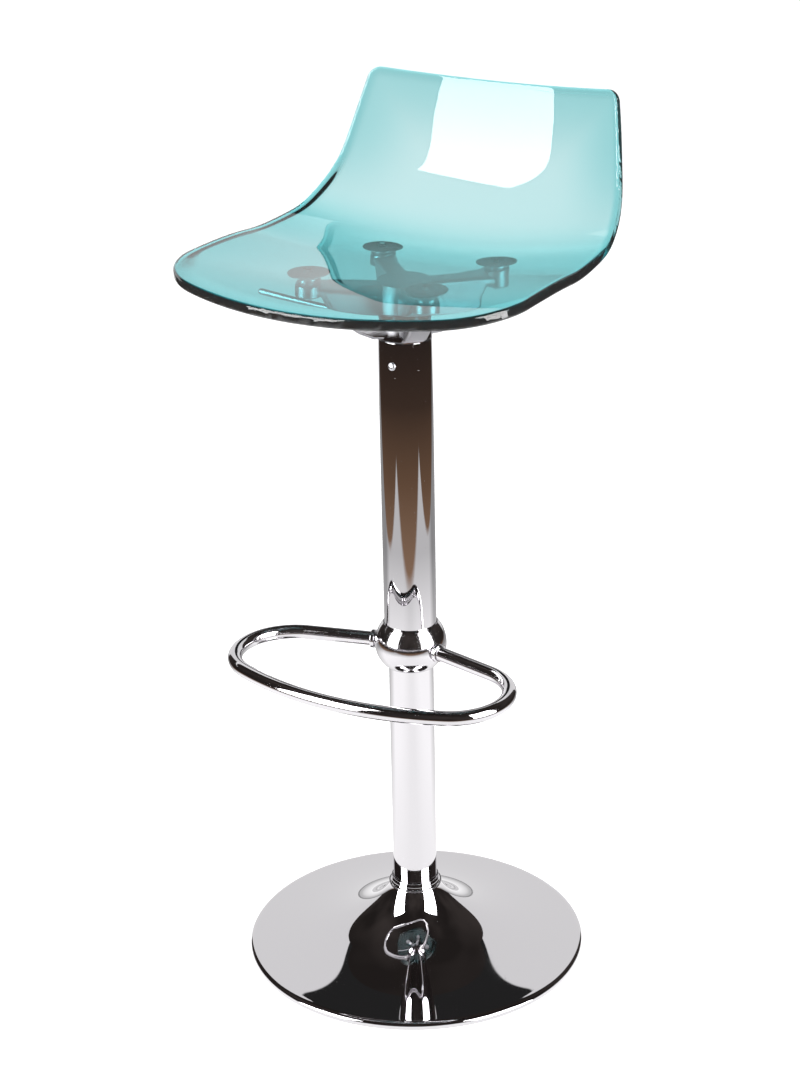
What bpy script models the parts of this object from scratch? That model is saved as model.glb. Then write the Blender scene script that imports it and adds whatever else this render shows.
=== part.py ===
# Bar stool: clear scoop seat on a gas-lift swivel column with a loop footrest and a trumpet base.
# Metres, +Z up. The origin is on the floor under the column, and the seat faces -Y.

import math

import bmesh
import bpy
from mathutils import Vector, geometry

# Fits between pieces
REST_GAP = 0.0003          # pieces that rest on or in each other
RUN_GAP = 0.0005           # pieces that slide or turn in each other

# Base
BASE_RADIUS = 0.193
BASE_WALL = 0.0015
BASE_EDGE_ROUND = 0.003
BASE_LAND = 0.010          # flat band inside the rounded edge
SKIRT_LIFT = 0.0008        # height of the dome's lower edge above the floor
NECK_HEIGHT = 0.077
NECK_RIM = 0.004           # how far the neck's edge stands out from the stand tube
NECK_STEEP = 0.034         # how far the flare falls while it is still steep
FLARE_REACH = 0.068        # how far out the flare turns nearly level
FLARE_RISE = 0.006         # height of the flare above the land at that reach
FLOOR_RING_HEIGHT = 0.002
FLOOR_RING_WIDTH = 0.022
PLATE_THICKNESS = 0.005
PLATE_HOLE = 0.015
COLLAR_LIP_HEIGHT = 0.003
COLLAR_LIP_WIDTH = 0.005
COLLAR_RING_HEIGHT = 0.006
COLLAR_RING_WIDTH = 0.0018

# Stand tube and its foot
STAND_RADIUS = 0.025
STAND_WALL = 0.002
STAND_OVERLAP = 0.050      # how far the stand tube reaches above the ball's middle
FOOT_RADIUS = 0.040
FOOT_THICKNESS = 0.008
FOOT_SPIGOT = 0.010
FLANGE_BOLTS = 4
BOLT_RADIUS = 0.003
BOLT_HEAD_RADIUS = 0.005
BOLT_HEAD_HEIGHT = 0.0025
BOLT_GRIP = 0.006          # length of the bolt inside the foot
SLEEVE_LENGTH = 0.080
SLEEVE_FLANGE = 0.003

# Gas spring
LIFT_STROKE = 0.210
CYLINDER_RADIUS = 0.014
CYLINDER_WALL = 0.002
CYLINDER_TAPER = 0.00075   # how much the radius narrows in the hub
CYLINDER_HEAD = 0.026      # solid length above the bore
GLAND_LENGTH = 0.016
PISTON_LENGTH = 0.012
ROD_RADIUS = 0.005
ROD_END_RADIUS = 0.004
ROD_END_DROP = 0.0036      # length of the rod's end below the foot
WASHER_RADIUS = 0.013
WASHER_THICKNESS = 0.0015
BEARING_HEIGHT = 0.004
CLIP_RADIUS = 0.008
CLIP_THICKNESS = 0.0012
BUFFER_RADIUS = 0.012
BUFFER_HEIGHT = 0.015
BUFFER_SPACE = 0.001       # left under the cylinder at the lowest seat height
VALVE_RADIUS = 0.003
VALVE_LENGTH = 0.024
VALVE_DOME = 0.0015        # height of the pin's rounded tip

# Cover tube, ball and footrest
COVER_RADIUS = 0.029
COVER_WALL = 0.0015
BALL_HEIGHT = 0.380
BALL_RADIUS = 0.040
BALL_DROP = 0.026          # the ball's flatter lower half
BALL_LIP = 0.0008
BALL_FOOT_WIDTH = 0.0022   # width of the ball's lower edge
TUBE_SEAT_DROP = 0.012     # how far below the ball's middle the cover tube ends
GUIDE_RING_HEIGHT = 0.005
GUIDE_RING_WIDTH = 0.0028
LIP_SPACE = 0.001          # between the ball's lower lip and the stand tube
LOOP_TUBE_RADIUS = 0.008
LOOP_HALF_WIDTH = 0.162
LOOP_CORNER_RADIUS = 0.062
LOOP_REACH = 0.172         # front of the loop from the column's axis
LOOP_SWEEP = math.radians(14.5)
SOCKET_DEPTH = 0.007
FERRULE_LENGTH = 0.005
FERRULE_WIDTH = 0.0022
TUBE_SCREW_DROP = 0.0255   # below the cover tube's top
TUBE_SCREW_RADIUS = 0.0025
TUBE_SCREW_LENGTH = 0.007  # inside the hub's spigot
TUBE_SCREW_HEAD_RADIUS = 0.0046
TUBE_SCREW_HEAD_HEIGHT = 0.0022

# Spider under the seat
CARRIER_DEPTH = 0.0782     # from the seat's surface on the axis down to the cover tube's top
HUB_HEIGHT = 0.0535
SPIGOT_LENGTH = 0.046
SOCKET_RISE = 0.0053       # top of the cylinder's socket above the cover tube
ARM_WIDTH = 0.024
ARM_ROOT = 0.018           # radius at which an arm starts inside the hub
ARM_INSET = 0.002          # an arm's edges lie this far inside the hub's and the boss's faces
ARM_BOSS_RADIUS = 0.0135
ARM_BOSS_HEIGHT = 0.012
POST_FLANGE_RADIUS = 0.022
POST_NECK_RADIUS = 0.0115
POST_EDGE = 0.0018
POST_HEIGHT = 0.008
SEAT_SCREW_RADIUS = 0.003
SEAT_SCREW_HEAD_RADIUS = 0.0055
SEAT_SCREW_HEAD_HEIGHT = 0.004
SEAT_SCREW_GRIP = 0.0055   # length of the screw inside the seat

# Lever
LEVER_RADIUS = 0.004
LEVER_REACH = 0.180        # outer end from the column's axis
LEVER_INNER = 0.008        # inner end past the column's axis
LEVER_RISE = math.radians(3.5)
LEVER_TILT = math.radians(8.0)
LEVER_SPACE = 0.0007       # beside the lever in its slot
PIVOT_OFFSET = 0.020       # pivot from the column's axis
PIVOT_RISE = 0.0157        # pivot above the cover tube's top
PIVOT_RADIUS = 0.002
PIVOT_HALF_LENGTH = 0.018

# Seat
SEAT_HEIGHT = 0.8147       # sitting surface on the column's axis
SEAT_WIDTH = 0.398
SEAT_FRONT = 0.2217        # front edge from the axis, along the pan
SEAT_CORNER_RADIUS = 0.095
SEAT_CORNER_FRONT = 0.104  # where the front corners meet the sides
SEAT_PANEL = 0.007
SEAT_RIM = 0.012
RIM_ROUND = 0.0025
PAN_TILT = math.radians(5.2)
ROLL_START = 0.124         # the pan rolls down in front of this
ROLL_RADIUS = 0.395
PAN_BACK = 0.085           # the bend starts behind this
BEND_RADIUS = 0.1035
BACK_RECLINE = math.radians(17.0)
BACK_STRAIGHT = 0.0905
TAPER_START = 0.100        # in front of the axis
BACK_TAPER = 0.050         # narrowing of each side up to the back's top edge
BACK_CORNER_RADIUS = 0.012
BACK_DIP = 0.002           # the top edge is lower in the middle by this
DISH_FRONT = 0.000
DISH_AXIS = 0.015
DISH_BEND = 0.034
DISH_TOP = 0.026
BOSS_RADIUS = 0.018
BOSS_HEIGHT = 0.0062
BOSS_HALF_WIDTH = 0.070
BOSS_FRONT = 0.076
BOSS_BACK = 0.075

# Fineness of round and curved shapes
ROUND_STEPS = 32
SMALL_STEPS = 16
DOME_STEPS = 48
ARC_STEPS = 8
SEAT_ROWS = 24
SEAT_COLUMNS = 20

# Heights and radii that follow from the sizes above
PLATE_BOTTOM = FLOOR_RING_HEIGHT + REST_GAP
PLATE_TOP = PLATE_BOTTOM + PLATE_THICKNESS
LAND_TOP = PLATE_TOP + REST_GAP + BASE_WALL
INSIDE_RADIUS = BASE_RADIUS - BASE_WALL - REST_GAP
PLATE_RADIUS = BASE_RADIUS - BASE_EDGE_ROUND - REST_GAP
NECK_RADIUS = STAND_RADIUS + NECK_RIM
FOOT_BOTTOM = PLATE_TOP + REST_GAP
FLANGE_TOP = FOOT_BOTTOM + FOOT_THICKNESS
SPIGOT_TOP = FLANGE_TOP + FOOT_SPIGOT
BOLT_CIRCLE = (STAND_RADIUS + FOOT_RADIUS) / 2
LOWER_WASHER = SPIGOT_TOP + REST_GAP
BEARING_BOTTOM = LOWER_WASHER + WASHER_THICKNESS + REST_GAP
UPPER_WASHER = BEARING_BOTTOM + BEARING_HEIGHT + REST_GAP
ROD_SHOULDER = UPPER_WASHER + WASHER_THICKNESS + REST_GAP
CYLINDER_BOTTOM = ROD_SHOULDER + BUFFER_HEIGHT + BUFFER_SPACE + LIFT_STROKE
GLAND_TOP = CYLINDER_BOTTOM + GLAND_LENGTH
PISTON_TOP = GLAND_TOP + REST_GAP + PISTON_LENGTH
STAND_TOP = BALL_HEIGHT + STAND_OVERLAP
COVER_BOTTOM = BALL_HEIGHT - TUBE_SEAT_DROP + REST_GAP
COVER_TOP = SEAT_HEIGHT - CARRIER_DEPTH
HUB_BOTTOM = COVER_TOP + REST_GAP
HUB_TOP = HUB_BOTTOM + HUB_HEIGHT
SPIGOT_BOTTOM = COVER_TOP - SPIGOT_LENGTH
SPIGOT_RADIUS = COVER_RADIUS - COVER_WALL - REST_GAP
SOCKET_TOP = COVER_TOP + SOCKET_RISE
CYLINDER_TOP = SOCKET_TOP - REST_GAP
PIVOT = Vector((-PIVOT_OFFSET, 0, COVER_TOP + PIVOT_RISE))
VALVE_TOP = PIVOT.z - PIVOT_OFFSET * math.tan(LEVER_RISE) - LEVER_RADIUS / math.cos(LEVER_RISE) - REST_GAP
TUBE_SCREW_HEIGHT = COVER_TOP - TUBE_SCREW_DROP
BEND_TURN = math.pi / 2 - BACK_RECLINE + PAN_TILT
SEAT_TOP = PAN_BACK + BEND_RADIUS * BEND_TURN + BACK_STRAIGHT

for old in list(bpy.data.objects):
    bpy.data.objects.remove(old, do_unlink=True)
PARTS = bpy.data.collections.new("bar_stool")
CUTTERS = bpy.data.collections.new("bar_stool_cutters")
bpy.context.scene.collection.children.link(PARTS)
bpy.context.scene.collection.children.link(CUTTERS)

FINISHES = {
    # colour, roughness, metallic
    "chrome": ((0.80, 0.80, 0.81), 0.06, 1.0),
    "steel": ((0.52, 0.53, 0.55), 0.35, 1.0),
    "clear_teal": ((0.10, 0.52, 0.56), 0.05, 0.0),
    "nylon": ((0.03, 0.03, 0.035), 0.45, 0.0),
    "rubber": ((0.02, 0.02, 0.02), 0.80, 0.0),
}


def finish(obj, kind):
    """Gives a piece its own material of this kind."""
    colour, roughness, metallic = FINISHES[kind]
    material = bpy.data.materials.new(obj.name)
    material.use_nodes = True
    shader = material.node_tree.nodes["Principled BSDF"]
    shader.inputs["Base Color"].default_value = (*colour, 1)
    shader.inputs["Roughness"].default_value = roughness
    shader.inputs["Metallic"].default_value = metallic
    obj.data.materials.append(material)
    return obj


def axis_empty(name, place):
    """An empty on a joint's axis, which carries the pieces that move there."""
    empty = bpy.data.objects.new(name, None)
    empty.location = place
    PARTS.objects.link(empty)
    bpy.context.view_layer.update()
    return empty


def carry(empty, *pieces):
    for piece in pieces:
        piece.parent = empty
        piece.matrix_parent_inverse = empty.matrix_world.inverted()


def as_cutter(obj):
    PARTS.objects.unlink(obj)
    CUTTERS.objects.link(obj)
    obj.hide_render = True
    obj.display_type = "WIRE"
    return obj


def boolean(obj, other, operation):
    modifier = obj.modifiers.new(operation.lower(), "BOOLEAN")
    modifier.operation = operation
    modifier.object = as_cutter(other)


def cut(obj, *cutters):
    for cutter in cutters:
        boolean(obj, cutter, "DIFFERENCE")


def join(obj, *others):
    for other in others:
        boolean(obj, other, "UNION")


def new_object(name, bm, smooth=True):
    mesh = bpy.data.meshes.new(name)
    bm.to_mesh(mesh)
    bm.free()
    if smooth:
        mesh.shade_smooth()
        mesh.set_sharp_from_angle(angle=math.radians(35))
    obj = bpy.data.objects.new(name, mesh)
    PARTS.objects.link(obj)
    return obj


def turned(name, profile, closed=True, steps=ROUND_STEPS):
    """A turned piece about local Z. The profile (radius, height) runs down its outer side.
    A closed profile makes a ring, and an open one starts and ends on the axis."""
    bm = bmesh.new()
    points = [bm.verts.new((radius, 0, height)) for radius, height in profile]
    for first, second in zip(points, points[1:]):
        bm.edges.new((first, second))
    if closed:
        bm.edges.new((points[-1], points[0]))
    obj = new_object(name, bm, smooth=False)
    screw = obj.modifiers.new("turn", "SCREW")
    screw.axis = "Z"
    screw.steps = steps
    screw.render_steps = steps
    screw.use_merge_vertices = True
    screw.merge_threshold = 0.00001
    return obj


def ring(name, outer, inner, bottom, top, steps=ROUND_STEPS):
    return turned(name, [(outer, top), (outer, bottom), (inner, bottom), (inner, top)], steps=steps)


def rod(name, radius, bottom, top, steps=SMALL_STEPS):
    return turned(name, [(0, top), (radius, top), (radius, bottom), (0, bottom)], closed=False, steps=steps)


def arc(centre, radius_x, radius_z, start, end, steps=ARC_STEPS):
    """Points along an elliptical arc, with angles counted from +X towards +Z."""
    angles = [start + (end - start) * i / steps for i in range(steps + 1)]
    return [(centre[0] + radius_x * math.cos(a), centre[1] + radius_z * math.sin(a)) for a in angles]


def laid(obj, direction, place):
    """Turns a piece so that its local Z points along direction, and puts its origin at place."""
    obj.rotation_mode = "QUATERNION"
    obj.rotation_quaternion = Vector(direction).to_track_quat("Z", "Y")
    obj.location = place
    return obj


def headed(name, shank_radius, shank_length, head_radius, head_height):
    """A screw along local Z: its head lies below the origin and its shank above it."""
    profile = [
        (0, shank_length),
        (shank_radius, shank_length),
        (shank_radius, 0),
        (head_radius, 0),
        (head_radius, -head_height),
        (0, -head_height),
    ]
    return turned(name, profile, closed=False, steps=SMALL_STEPS)


def bow(half_width, corner_radius, corner_front, reach):
    """A front outline: its wide arc's radius, and the half width where that arc meets the corner's."""
    middle = half_width - corner_radius
    back = corner_front - reach
    front_radius = (corner_radius**2 - middle**2 - back**2) / (2 * (corner_radius + back))
    meet = middle * front_radius / (front_radius - corner_radius)
    return front_radius, meet


# Seat surface: s runs along its middle line from the front edge to the back's top, with 0 on the axis,
# and v runs across it from -1 to 1.


def middle_line(s):
    """Point (y, z) and upward normal (y, z) of the sitting surface's middle line at s."""
    along = Vector((math.cos(PAN_TILT), -math.sin(PAN_TILT)))
    up = Vector((math.sin(PAN_TILT), math.cos(PAN_TILT)))
    start = Vector((0, SEAT_HEIGHT))
    if s < -ROLL_START:
        turn = (-ROLL_START - s) / ROLL_RADIUS
        centre = start - along * ROLL_START - up * ROLL_RADIUS
        normal = up * math.cos(turn) - along * math.sin(turn)
        return centre + normal * ROLL_RADIUS, normal
    if s <= PAN_BACK:
        return start + along * s, up
    turn = min((s - PAN_BACK) / BEND_RADIUS, BEND_TURN)
    centre = start + along * PAN_BACK + up * BEND_RADIUS
    normal = up * math.cos(turn) - along * math.sin(turn)
    past_bend = max(0, s - PAN_BACK - BEND_RADIUS * BEND_TURN)
    tangent = Vector((normal.y, -normal.x))
    return centre - normal * BEND_RADIUS + tangent * past_bend, normal


def dish(s):
    """Height of the rim above the middle line."""
    bend_middle = PAN_BACK + BEND_RADIUS * BEND_TURN / 2
    stops = [(-SEAT_FRONT, DISH_FRONT), (0, DISH_AXIS), (bend_middle, DISH_BEND), (SEAT_TOP, DISH_TOP)]
    for (s0, d0), (s1, d1) in zip(stops, stops[1:]):
        if s <= s1:
            break
    share = min(max((s - s0) / (s1 - s0), 0), 1)
    return d0 + (d1 - d0) * share * share * (3 - 2 * share)


def half_width(s):
    share = max(0, s + TAPER_START) / (SEAT_TOP + TAPER_START)
    return SEAT_WIDTH / 2 - BACK_TAPER * share**2


def seat_point(s, v):
    point, normal = middle_line(s)
    point = point + normal * dish(s) * v * v
    return Vector((half_width(s) * v, point.x, point.y))


def front_edge(v):
    """s of the front edge at v: a wide arc between two corner arcs."""
    x = abs(v) * SEAT_WIDTH / 2
    front_radius, meet = bow(SEAT_WIDTH / 2, SEAT_CORNER_RADIUS, SEAT_CORNER_FRONT, SEAT_FRONT)
    if x <= meet:
        return -(SEAT_FRONT - front_radius + math.sqrt(front_radius**2 - x**2))
    past = x - (SEAT_WIDTH / 2 - SEAT_CORNER_RADIUS)
    return -(SEAT_CORNER_FRONT + math.sqrt(max(0, SEAT_CORNER_RADIUS**2 - past**2)))


def back_edge(v):
    """s of the back's top edge at v, with its two rounded corners."""
    top = SEAT_TOP - BACK_DIP * (1 - v * v)
    past = abs(v) * half_width(SEAT_TOP) - (half_width(SEAT_TOP) - BACK_CORNER_RADIUS)
    if past <= 0:
        return top
    return top - BACK_CORNER_RADIUS + math.sqrt(max(0, BACK_CORNER_RADIUS**2 - past**2))


def surface_height(x, y):
    """Height of the sitting surface over a point of the pan."""
    low = -SEAT_FRONT
    high = PAN_BACK + BEND_RADIUS
    for _ in range(40):
        s = (low + high) / 2
        point = seat_point(s, x / half_width(s))
        if point.y < y:
            low = s
        else:
            high = s
    return point.z


def boss_places():
    """Middle of each boss's lower face, by name."""
    places = {}
    for end, y in (("front", -BOSS_FRONT), ("back", BOSS_BACK)):
        for side, x in (("right", -BOSS_HALF_WIDTH), ("left", BOSS_HALF_WIDTH)):
            under = surface_height(x, y) - SEAT_PANEL / math.cos(PAN_TILT)
            places[f"{end}_{side}"] = Vector((x, y, under - BOSS_HEIGHT))
    return places


def seat_shell():
    """The moulded scoop: a curved panel with a thicker rounded rim and four flat bosses below."""
    edge_share = SEAT_RIM / (SEAT_FRONT + SEAT_TOP)
    inner = [edge_share + (1 - 2 * edge_share) * i / SEAT_ROWS for i in range(SEAT_ROWS + 1)]
    shares = [0, *inner, 1]
    across = [math.sin(math.pi * (j / SEAT_COLUMNS - 0.5)) for j in range(SEAT_COLUMNS + 1)]
    bm = bmesh.new()
    bmesh.ops.create_grid(bm, x_segments=SEAT_COLUMNS, y_segments=len(shares) - 1, size=0.5)
    rim = []
    for vert in bm.verts:
        row = round((vert.co.y + 0.5) * (len(shares) - 1))
        column = round((vert.co.x + 0.5) * SEAT_COLUMNS)
        v = across[column]
        front = front_edge(v)
        s = front + (back_edge(v) - front) * shares[row]
        vert.co = seat_point(s, v)
        if row in (0, len(shares) - 1) or column in (0, 1, SEAT_COLUMNS - 1, SEAT_COLUMNS):
            rim.append(vert.index)
    shell = new_object("seat_shell", bm)
    group = shell.vertex_groups.new(name="rim")
    group.add(rim, 1.0, "REPLACE")
    wall = shell.modifiers.new("panel", "SOLIDIFY")
    wall.thickness = SEAT_RIM
    wall.offset = -1
    wall.vertex_group = "rim"
    wall.thickness_vertex_group = SEAT_PANEL / SEAT_RIM
    edge = shell.modifiers.new("rim_round", "BEVEL")
    edge.width = RIM_ROUND
    edge.segments = 2
    edge.limit_method = "ANGLE"
    edge.angle_limit = math.radians(50)
    for name, place in boss_places().items():
        top = place.z + BOSS_HEIGHT + SEAT_PANEL / 2
        boss = rod(f"boss_{name}", BOSS_RADIUS, place.z, top, steps=ROUND_STEPS)
        boss.location = (place.x, place.y, 0)
        join(shell, boss)
    for name, place in boss_places().items():
        hole_top = place.z + SEAT_SCREW_GRIP + REST_GAP
        hole = rod(f"boss_hole_{name}", SEAT_SCREW_RADIUS + REST_GAP, place.z - BOSS_HEIGHT, hole_top)
        hole.location = (place.x, place.y, 0)
        cut(shell, hole)
    return finish(shell, "clear_teal")


def supports():
    """A mushroom post under each boss, and the screw that holds it from below the arm."""
    pieces = []
    for name, place in boss_places().items():
        top = place.z - REST_GAP
        bottom = top - POST_HEIGHT
        bore = SEAT_SCREW_RADIUS + REST_GAP
        profile = [
            (POST_FLANGE_RADIUS, top),
            (POST_FLANGE_RADIUS, top - POST_EDGE),
            (POST_NECK_RADIUS, bottom + POST_EDGE),
            (POST_NECK_RADIUS, bottom),
            (bore, bottom),
            (bore, top),
        ]
        post = turned(f"support_post_{name}", profile)
        post.location = (place.x, place.y, 0)
        arm_bottom = bottom - REST_GAP - ARM_BOSS_HEIGHT - REST_GAP
        length = place.z + SEAT_SCREW_GRIP - arm_bottom
        screw = headed(
            f"seat_screw_{name}", SEAT_SCREW_RADIUS, length, SEAT_SCREW_HEAD_RADIUS, SEAT_SCREW_HEAD_HEIGHT
        )
        screw.location = (place.x, place.y, arm_bottom)
        pieces += [finish(post, "chrome"), finish(screw, "steel")]
    return pieces


def arm(name, place):
    """One arm of the spider and its boss, as two solids that the hub takes in."""
    boss_top = place.z - 2 * REST_GAP - POST_HEIGHT
    boss_bottom = boss_top - ARM_BOSS_HEIGHT
    reach = math.hypot(place.x, place.y)
    outline = [
        (ARM_ROOT, HUB_TOP - ARM_INSET),
        (reach, boss_top - ARM_INSET),
        (reach, boss_bottom + ARM_INSET),
        (reach - ARM_BOSS_RADIUS, boss_bottom + ARM_INSET),
        (ARM_ROOT, HUB_BOTTOM + ARM_INSET),
    ]
    bm = bmesh.new()
    side = bm.faces.new([bm.verts.new((x, -ARM_WIDTH / 2, z)) for x, z in reversed(outline)])
    grown = bmesh.ops.extrude_face_region(bm, geom=[side])
    moved = [item for item in grown["geom"] if isinstance(item, bmesh.types.BMVert)]
    bmesh.ops.translate(bm, verts=moved, vec=(0, ARM_WIDTH, 0))
    bmesh.ops.recalc_face_normals(bm, faces=bm.faces)
    web = new_object(f"arm_{name}", bm, smooth=False)
    web.rotation_euler.z = math.atan2(place.y, place.x)
    boss = rod(f"arm_boss_{name}", ARM_BOSS_RADIUS, boss_bottom, boss_top, steps=ROUND_STEPS)
    boss.location = (place.x, place.y, 0)
    hole = rod(
        f"arm_hole_{name}", SEAT_SCREW_RADIUS + REST_GAP, boss_bottom - ARM_INSET, boss_top + ARM_INSET
    )
    hole.location = (place.x, place.y, 0)
    return web, boss, hole


def seat_spider():
    """The cast carrier: a hub with a spigot in the cover tube, and four arms up to the seat's posts."""
    profile = [
        (0, HUB_TOP),
        (COVER_RADIUS, HUB_TOP),
        (COVER_RADIUS, HUB_BOTTOM),
        (SPIGOT_RADIUS, HUB_BOTTOM),
        (SPIGOT_RADIUS, SPIGOT_BOTTOM),
        (0, SPIGOT_BOTTOM),
    ]
    hub = turned("seat_spider", profile, closed=False)
    arms = [arm(name, place) for name, place in boss_places().items()]
    for web, boss, hole in arms:
        join(hub, web, boss)
    for web, boss, hole in arms:
        cut(hub, hole)
    narrow = CYLINDER_RADIUS - CYLINDER_TAPER + REST_GAP
    wide = CYLINDER_RADIUS + REST_GAP
    mouth = SPIGOT_BOTTOM - REST_GAP
    socket_profile = [(0, SOCKET_TOP), (narrow, SOCKET_TOP), (wide, SPIGOT_BOTTOM), (wide, mouth), (0, mouth)]
    socket = turned("cylinder_socket", socket_profile, closed=False)
    cut(hub, socket, lever_slot(), pivot_hole())
    for name, facing in (("front", -1), ("back", 1)):
        depth = TUBE_SCREW_LENGTH + REST_GAP
        hole = rod(f"spigot_hole_{name}", TUBE_SCREW_RADIUS + REST_GAP, SPIGOT_RADIUS - depth, COVER_RADIUS)
        cut(hub, laid(hole, (0, facing, 0), (0, 0, TUBE_SCREW_HEIGHT)))
    return finish(hub, "chrome")


def lever_slot():
    """The slot through the hub's side in which the lever tilts."""
    swing = math.tan(LEVER_RISE + LEVER_TILT)
    thick = LEVER_RADIUS / math.cos(LEVER_RISE + LEVER_TILT) + LEVER_SPACE
    inner = LEVER_INNER + LEVER_RADIUS
    low = min(PIVOT.z - (PIVOT_OFFSET + inner) * swing - thick, SOCKET_TOP - LEVER_SPACE)
    high = PIVOT.z + COVER_RADIUS * swing + thick
    outer = COVER_RADIUS + LEVER_RADIUS
    size = Vector((outer + inner, 2 * (LEVER_RADIUS + LEVER_SPACE), high - low))
    bm = bmesh.new()
    bmesh.ops.create_cube(bm, size=1)
    bmesh.ops.scale(bm, vec=size, verts=bm.verts)
    slot = new_object("lever_slot", bm, smooth=False)
    slot.location = ((inner - outer) / 2, 0, (low + high) / 2)
    return slot


def pivot_hole():
    length = PIVOT_HALF_LENGTH + REST_GAP
    hole = rod("pivot_hole", PIVOT_RADIUS + REST_GAP, -length, COVER_RADIUS + length)
    return laid(hole, (0, 1, 0), PIVOT)


def lever_rod():
    """The lever: a straight rod with rounded ends and a cross hole on its pivot."""
    outer = (LEVER_REACH - PIVOT_OFFSET) / math.cos(LEVER_RISE)
    inner = (LEVER_INNER + PIVOT_OFFSET) / math.cos(LEVER_RISE)
    profile = [(LEVER_RADIUS * math.cos(a), outer - LEVER_RADIUS + LEVER_RADIUS * math.sin(a))
               for a in (math.pi / 2 * (1 - i / 5) for i in range(6))]
    profile[0] = (0, outer)
    profile += [(LEVER_RADIUS, -inner), (0, -inner)]
    lever = turned("lever_rod", profile, closed=False, steps=SMALL_STEPS)
    laid(lever, (-math.cos(LEVER_RISE), 0, math.sin(LEVER_RISE)), PIVOT)
    cross = rod("lever_cross_hole", PIVOT_RADIUS + REST_GAP, -2 * LEVER_RADIUS, 2 * LEVER_RADIUS)
    cut(lever, laid(cross, (0, 1, 0), PIVOT))
    pin = laid(rod("lever_pin", PIVOT_RADIUS, -PIVOT_HALF_LENGTH, PIVOT_HALF_LENGTH), (0, 1, 0), PIVOT)
    return finish(lever, "chrome"), finish(pin, "steel")


def gas_spring():
    """Cylinder, gland and valve pin above; rod and piston below."""
    bore = CYLINDER_RADIUS - CYLINDER_WALL
    head = CYLINDER_TOP - CYLINDER_HEAD
    valve_bore = VALVE_RADIUS + REST_GAP
    profile = [
        (CYLINDER_RADIUS - CYLINDER_TAPER, CYLINDER_TOP),
        (CYLINDER_RADIUS, SPIGOT_BOTTOM),
        (CYLINDER_RADIUS, CYLINDER_BOTTOM),
        (bore, CYLINDER_BOTTOM),
        (bore, head),
        (valve_bore, head),
        (valve_bore, CYLINDER_TOP),
    ]
    cylinder = turned("gas_cylinder", profile)
    gland = ring("rod_gland", bore - REST_GAP, ROD_RADIUS + RUN_GAP, CYLINDER_BOTTOM, GLAND_TOP)
    tip = arc((0, VALVE_TOP - VALVE_DOME), VALVE_RADIUS, VALVE_DOME, math.pi / 2, 0)
    foot = VALVE_TOP - VALVE_LENGTH
    valve_profile = [(0, VALVE_TOP), *tip[1:], (VALVE_RADIUS, foot), (0, foot)]
    valve = turned("valve_pin", valve_profile, closed=False, steps=SMALL_STEPS)
    piston = ring("piston", bore - RUN_GAP, ROD_RADIUS + REST_GAP, GLAND_TOP + REST_GAP, PISTON_TOP)
    rod_end = FOOT_BOTTOM - ROD_END_DROP
    rod_profile = [
        (0, PISTON_TOP),
        (ROD_RADIUS, PISTON_TOP),
        (ROD_RADIUS, ROD_SHOULDER),
        (ROD_END_RADIUS, ROD_SHOULDER),
        (ROD_END_RADIUS, rod_end),
        (0, rod_end),
    ]
    piston_rod = turned("piston_rod", rod_profile, closed=False, steps=SMALL_STEPS)
    seat_side = [finish(cylinder, "steel"), finish(gland, "nylon")]
    rod_side = [finish(piston, "steel"), finish(piston_rod, "steel")]
    return seat_side, rod_side, finish(valve, "steel")


def swivel_stack():
    """Washers and bearing that carry the rod on the foot, its clip below, and the buffer round it."""
    bore = ROD_END_RADIUS + REST_GAP
    lower = ring("thrust_washer_lower", WASHER_RADIUS, bore, LOWER_WASHER, LOWER_WASHER + WASHER_THICKNESS)
    bearing = ring("thrust_bearing", WASHER_RADIUS, bore, BEARING_BOTTOM, BEARING_BOTTOM + BEARING_HEIGHT)
    upper = ring("thrust_washer_upper", WASHER_RADIUS, bore, UPPER_WASHER, UPPER_WASHER + WASHER_THICKNESS)
    clip_top = FOOT_BOTTOM - REST_GAP
    clip = ring("rod_clip", CLIP_RADIUS, bore, clip_top - CLIP_THICKNESS, clip_top)
    buffer_top = ROD_SHOULDER + BUFFER_HEIGHT
    buffer = ring("stop_buffer", BUFFER_RADIUS, ROD_RADIUS + REST_GAP, ROD_SHOULDER, buffer_top)
    base_side = [finish(lower, "steel"), finish(bearing, "steel")]
    rod_side = [finish(upper, "steel"), finish(clip, "steel"), finish(buffer, "rubber")]
    return base_side, rod_side


def base_dome():
    """The spun shell: a steep neck that flares out to a nearly level rim with a rounded edge."""
    land_radius = BASE_RADIUS - BASE_EDGE_ROUND - BASE_LAND
    flare = geometry.interpolate_bezier(
        Vector((NECK_RADIUS, 0, NECK_HEIGHT)),
        Vector((NECK_RADIUS + NECK_RIM * 3, 0, NECK_HEIGHT - NECK_STEEP)),
        Vector((NECK_RADIUS + FLARE_REACH, 0, LAND_TOP + FLARE_RISE)),
        Vector((land_radius, 0, LAND_TOP)),
        2 * ARC_STEPS,
    )
    edge_centre = (BASE_RADIUS - BASE_EDGE_ROUND, LAND_TOP - BASE_EDGE_ROUND)
    edge = arc(edge_centre, BASE_EDGE_ROUND, BASE_EDGE_ROUND, math.pi / 2, 0, steps=4)
    profile = [(point.x, point.z) for point in flare] + edge + [(BASE_RADIUS, SKIRT_LIFT)]
    dome = turned("base_dome", profile, closed=False, steps=DOME_STEPS)
    wall = dome.modifiers.new("sheet", "SOLIDIFY")
    wall.thickness = BASE_WALL
    wall.offset = -1
    wall.use_even_offset = True
    return finish(dome, "chrome")


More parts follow.
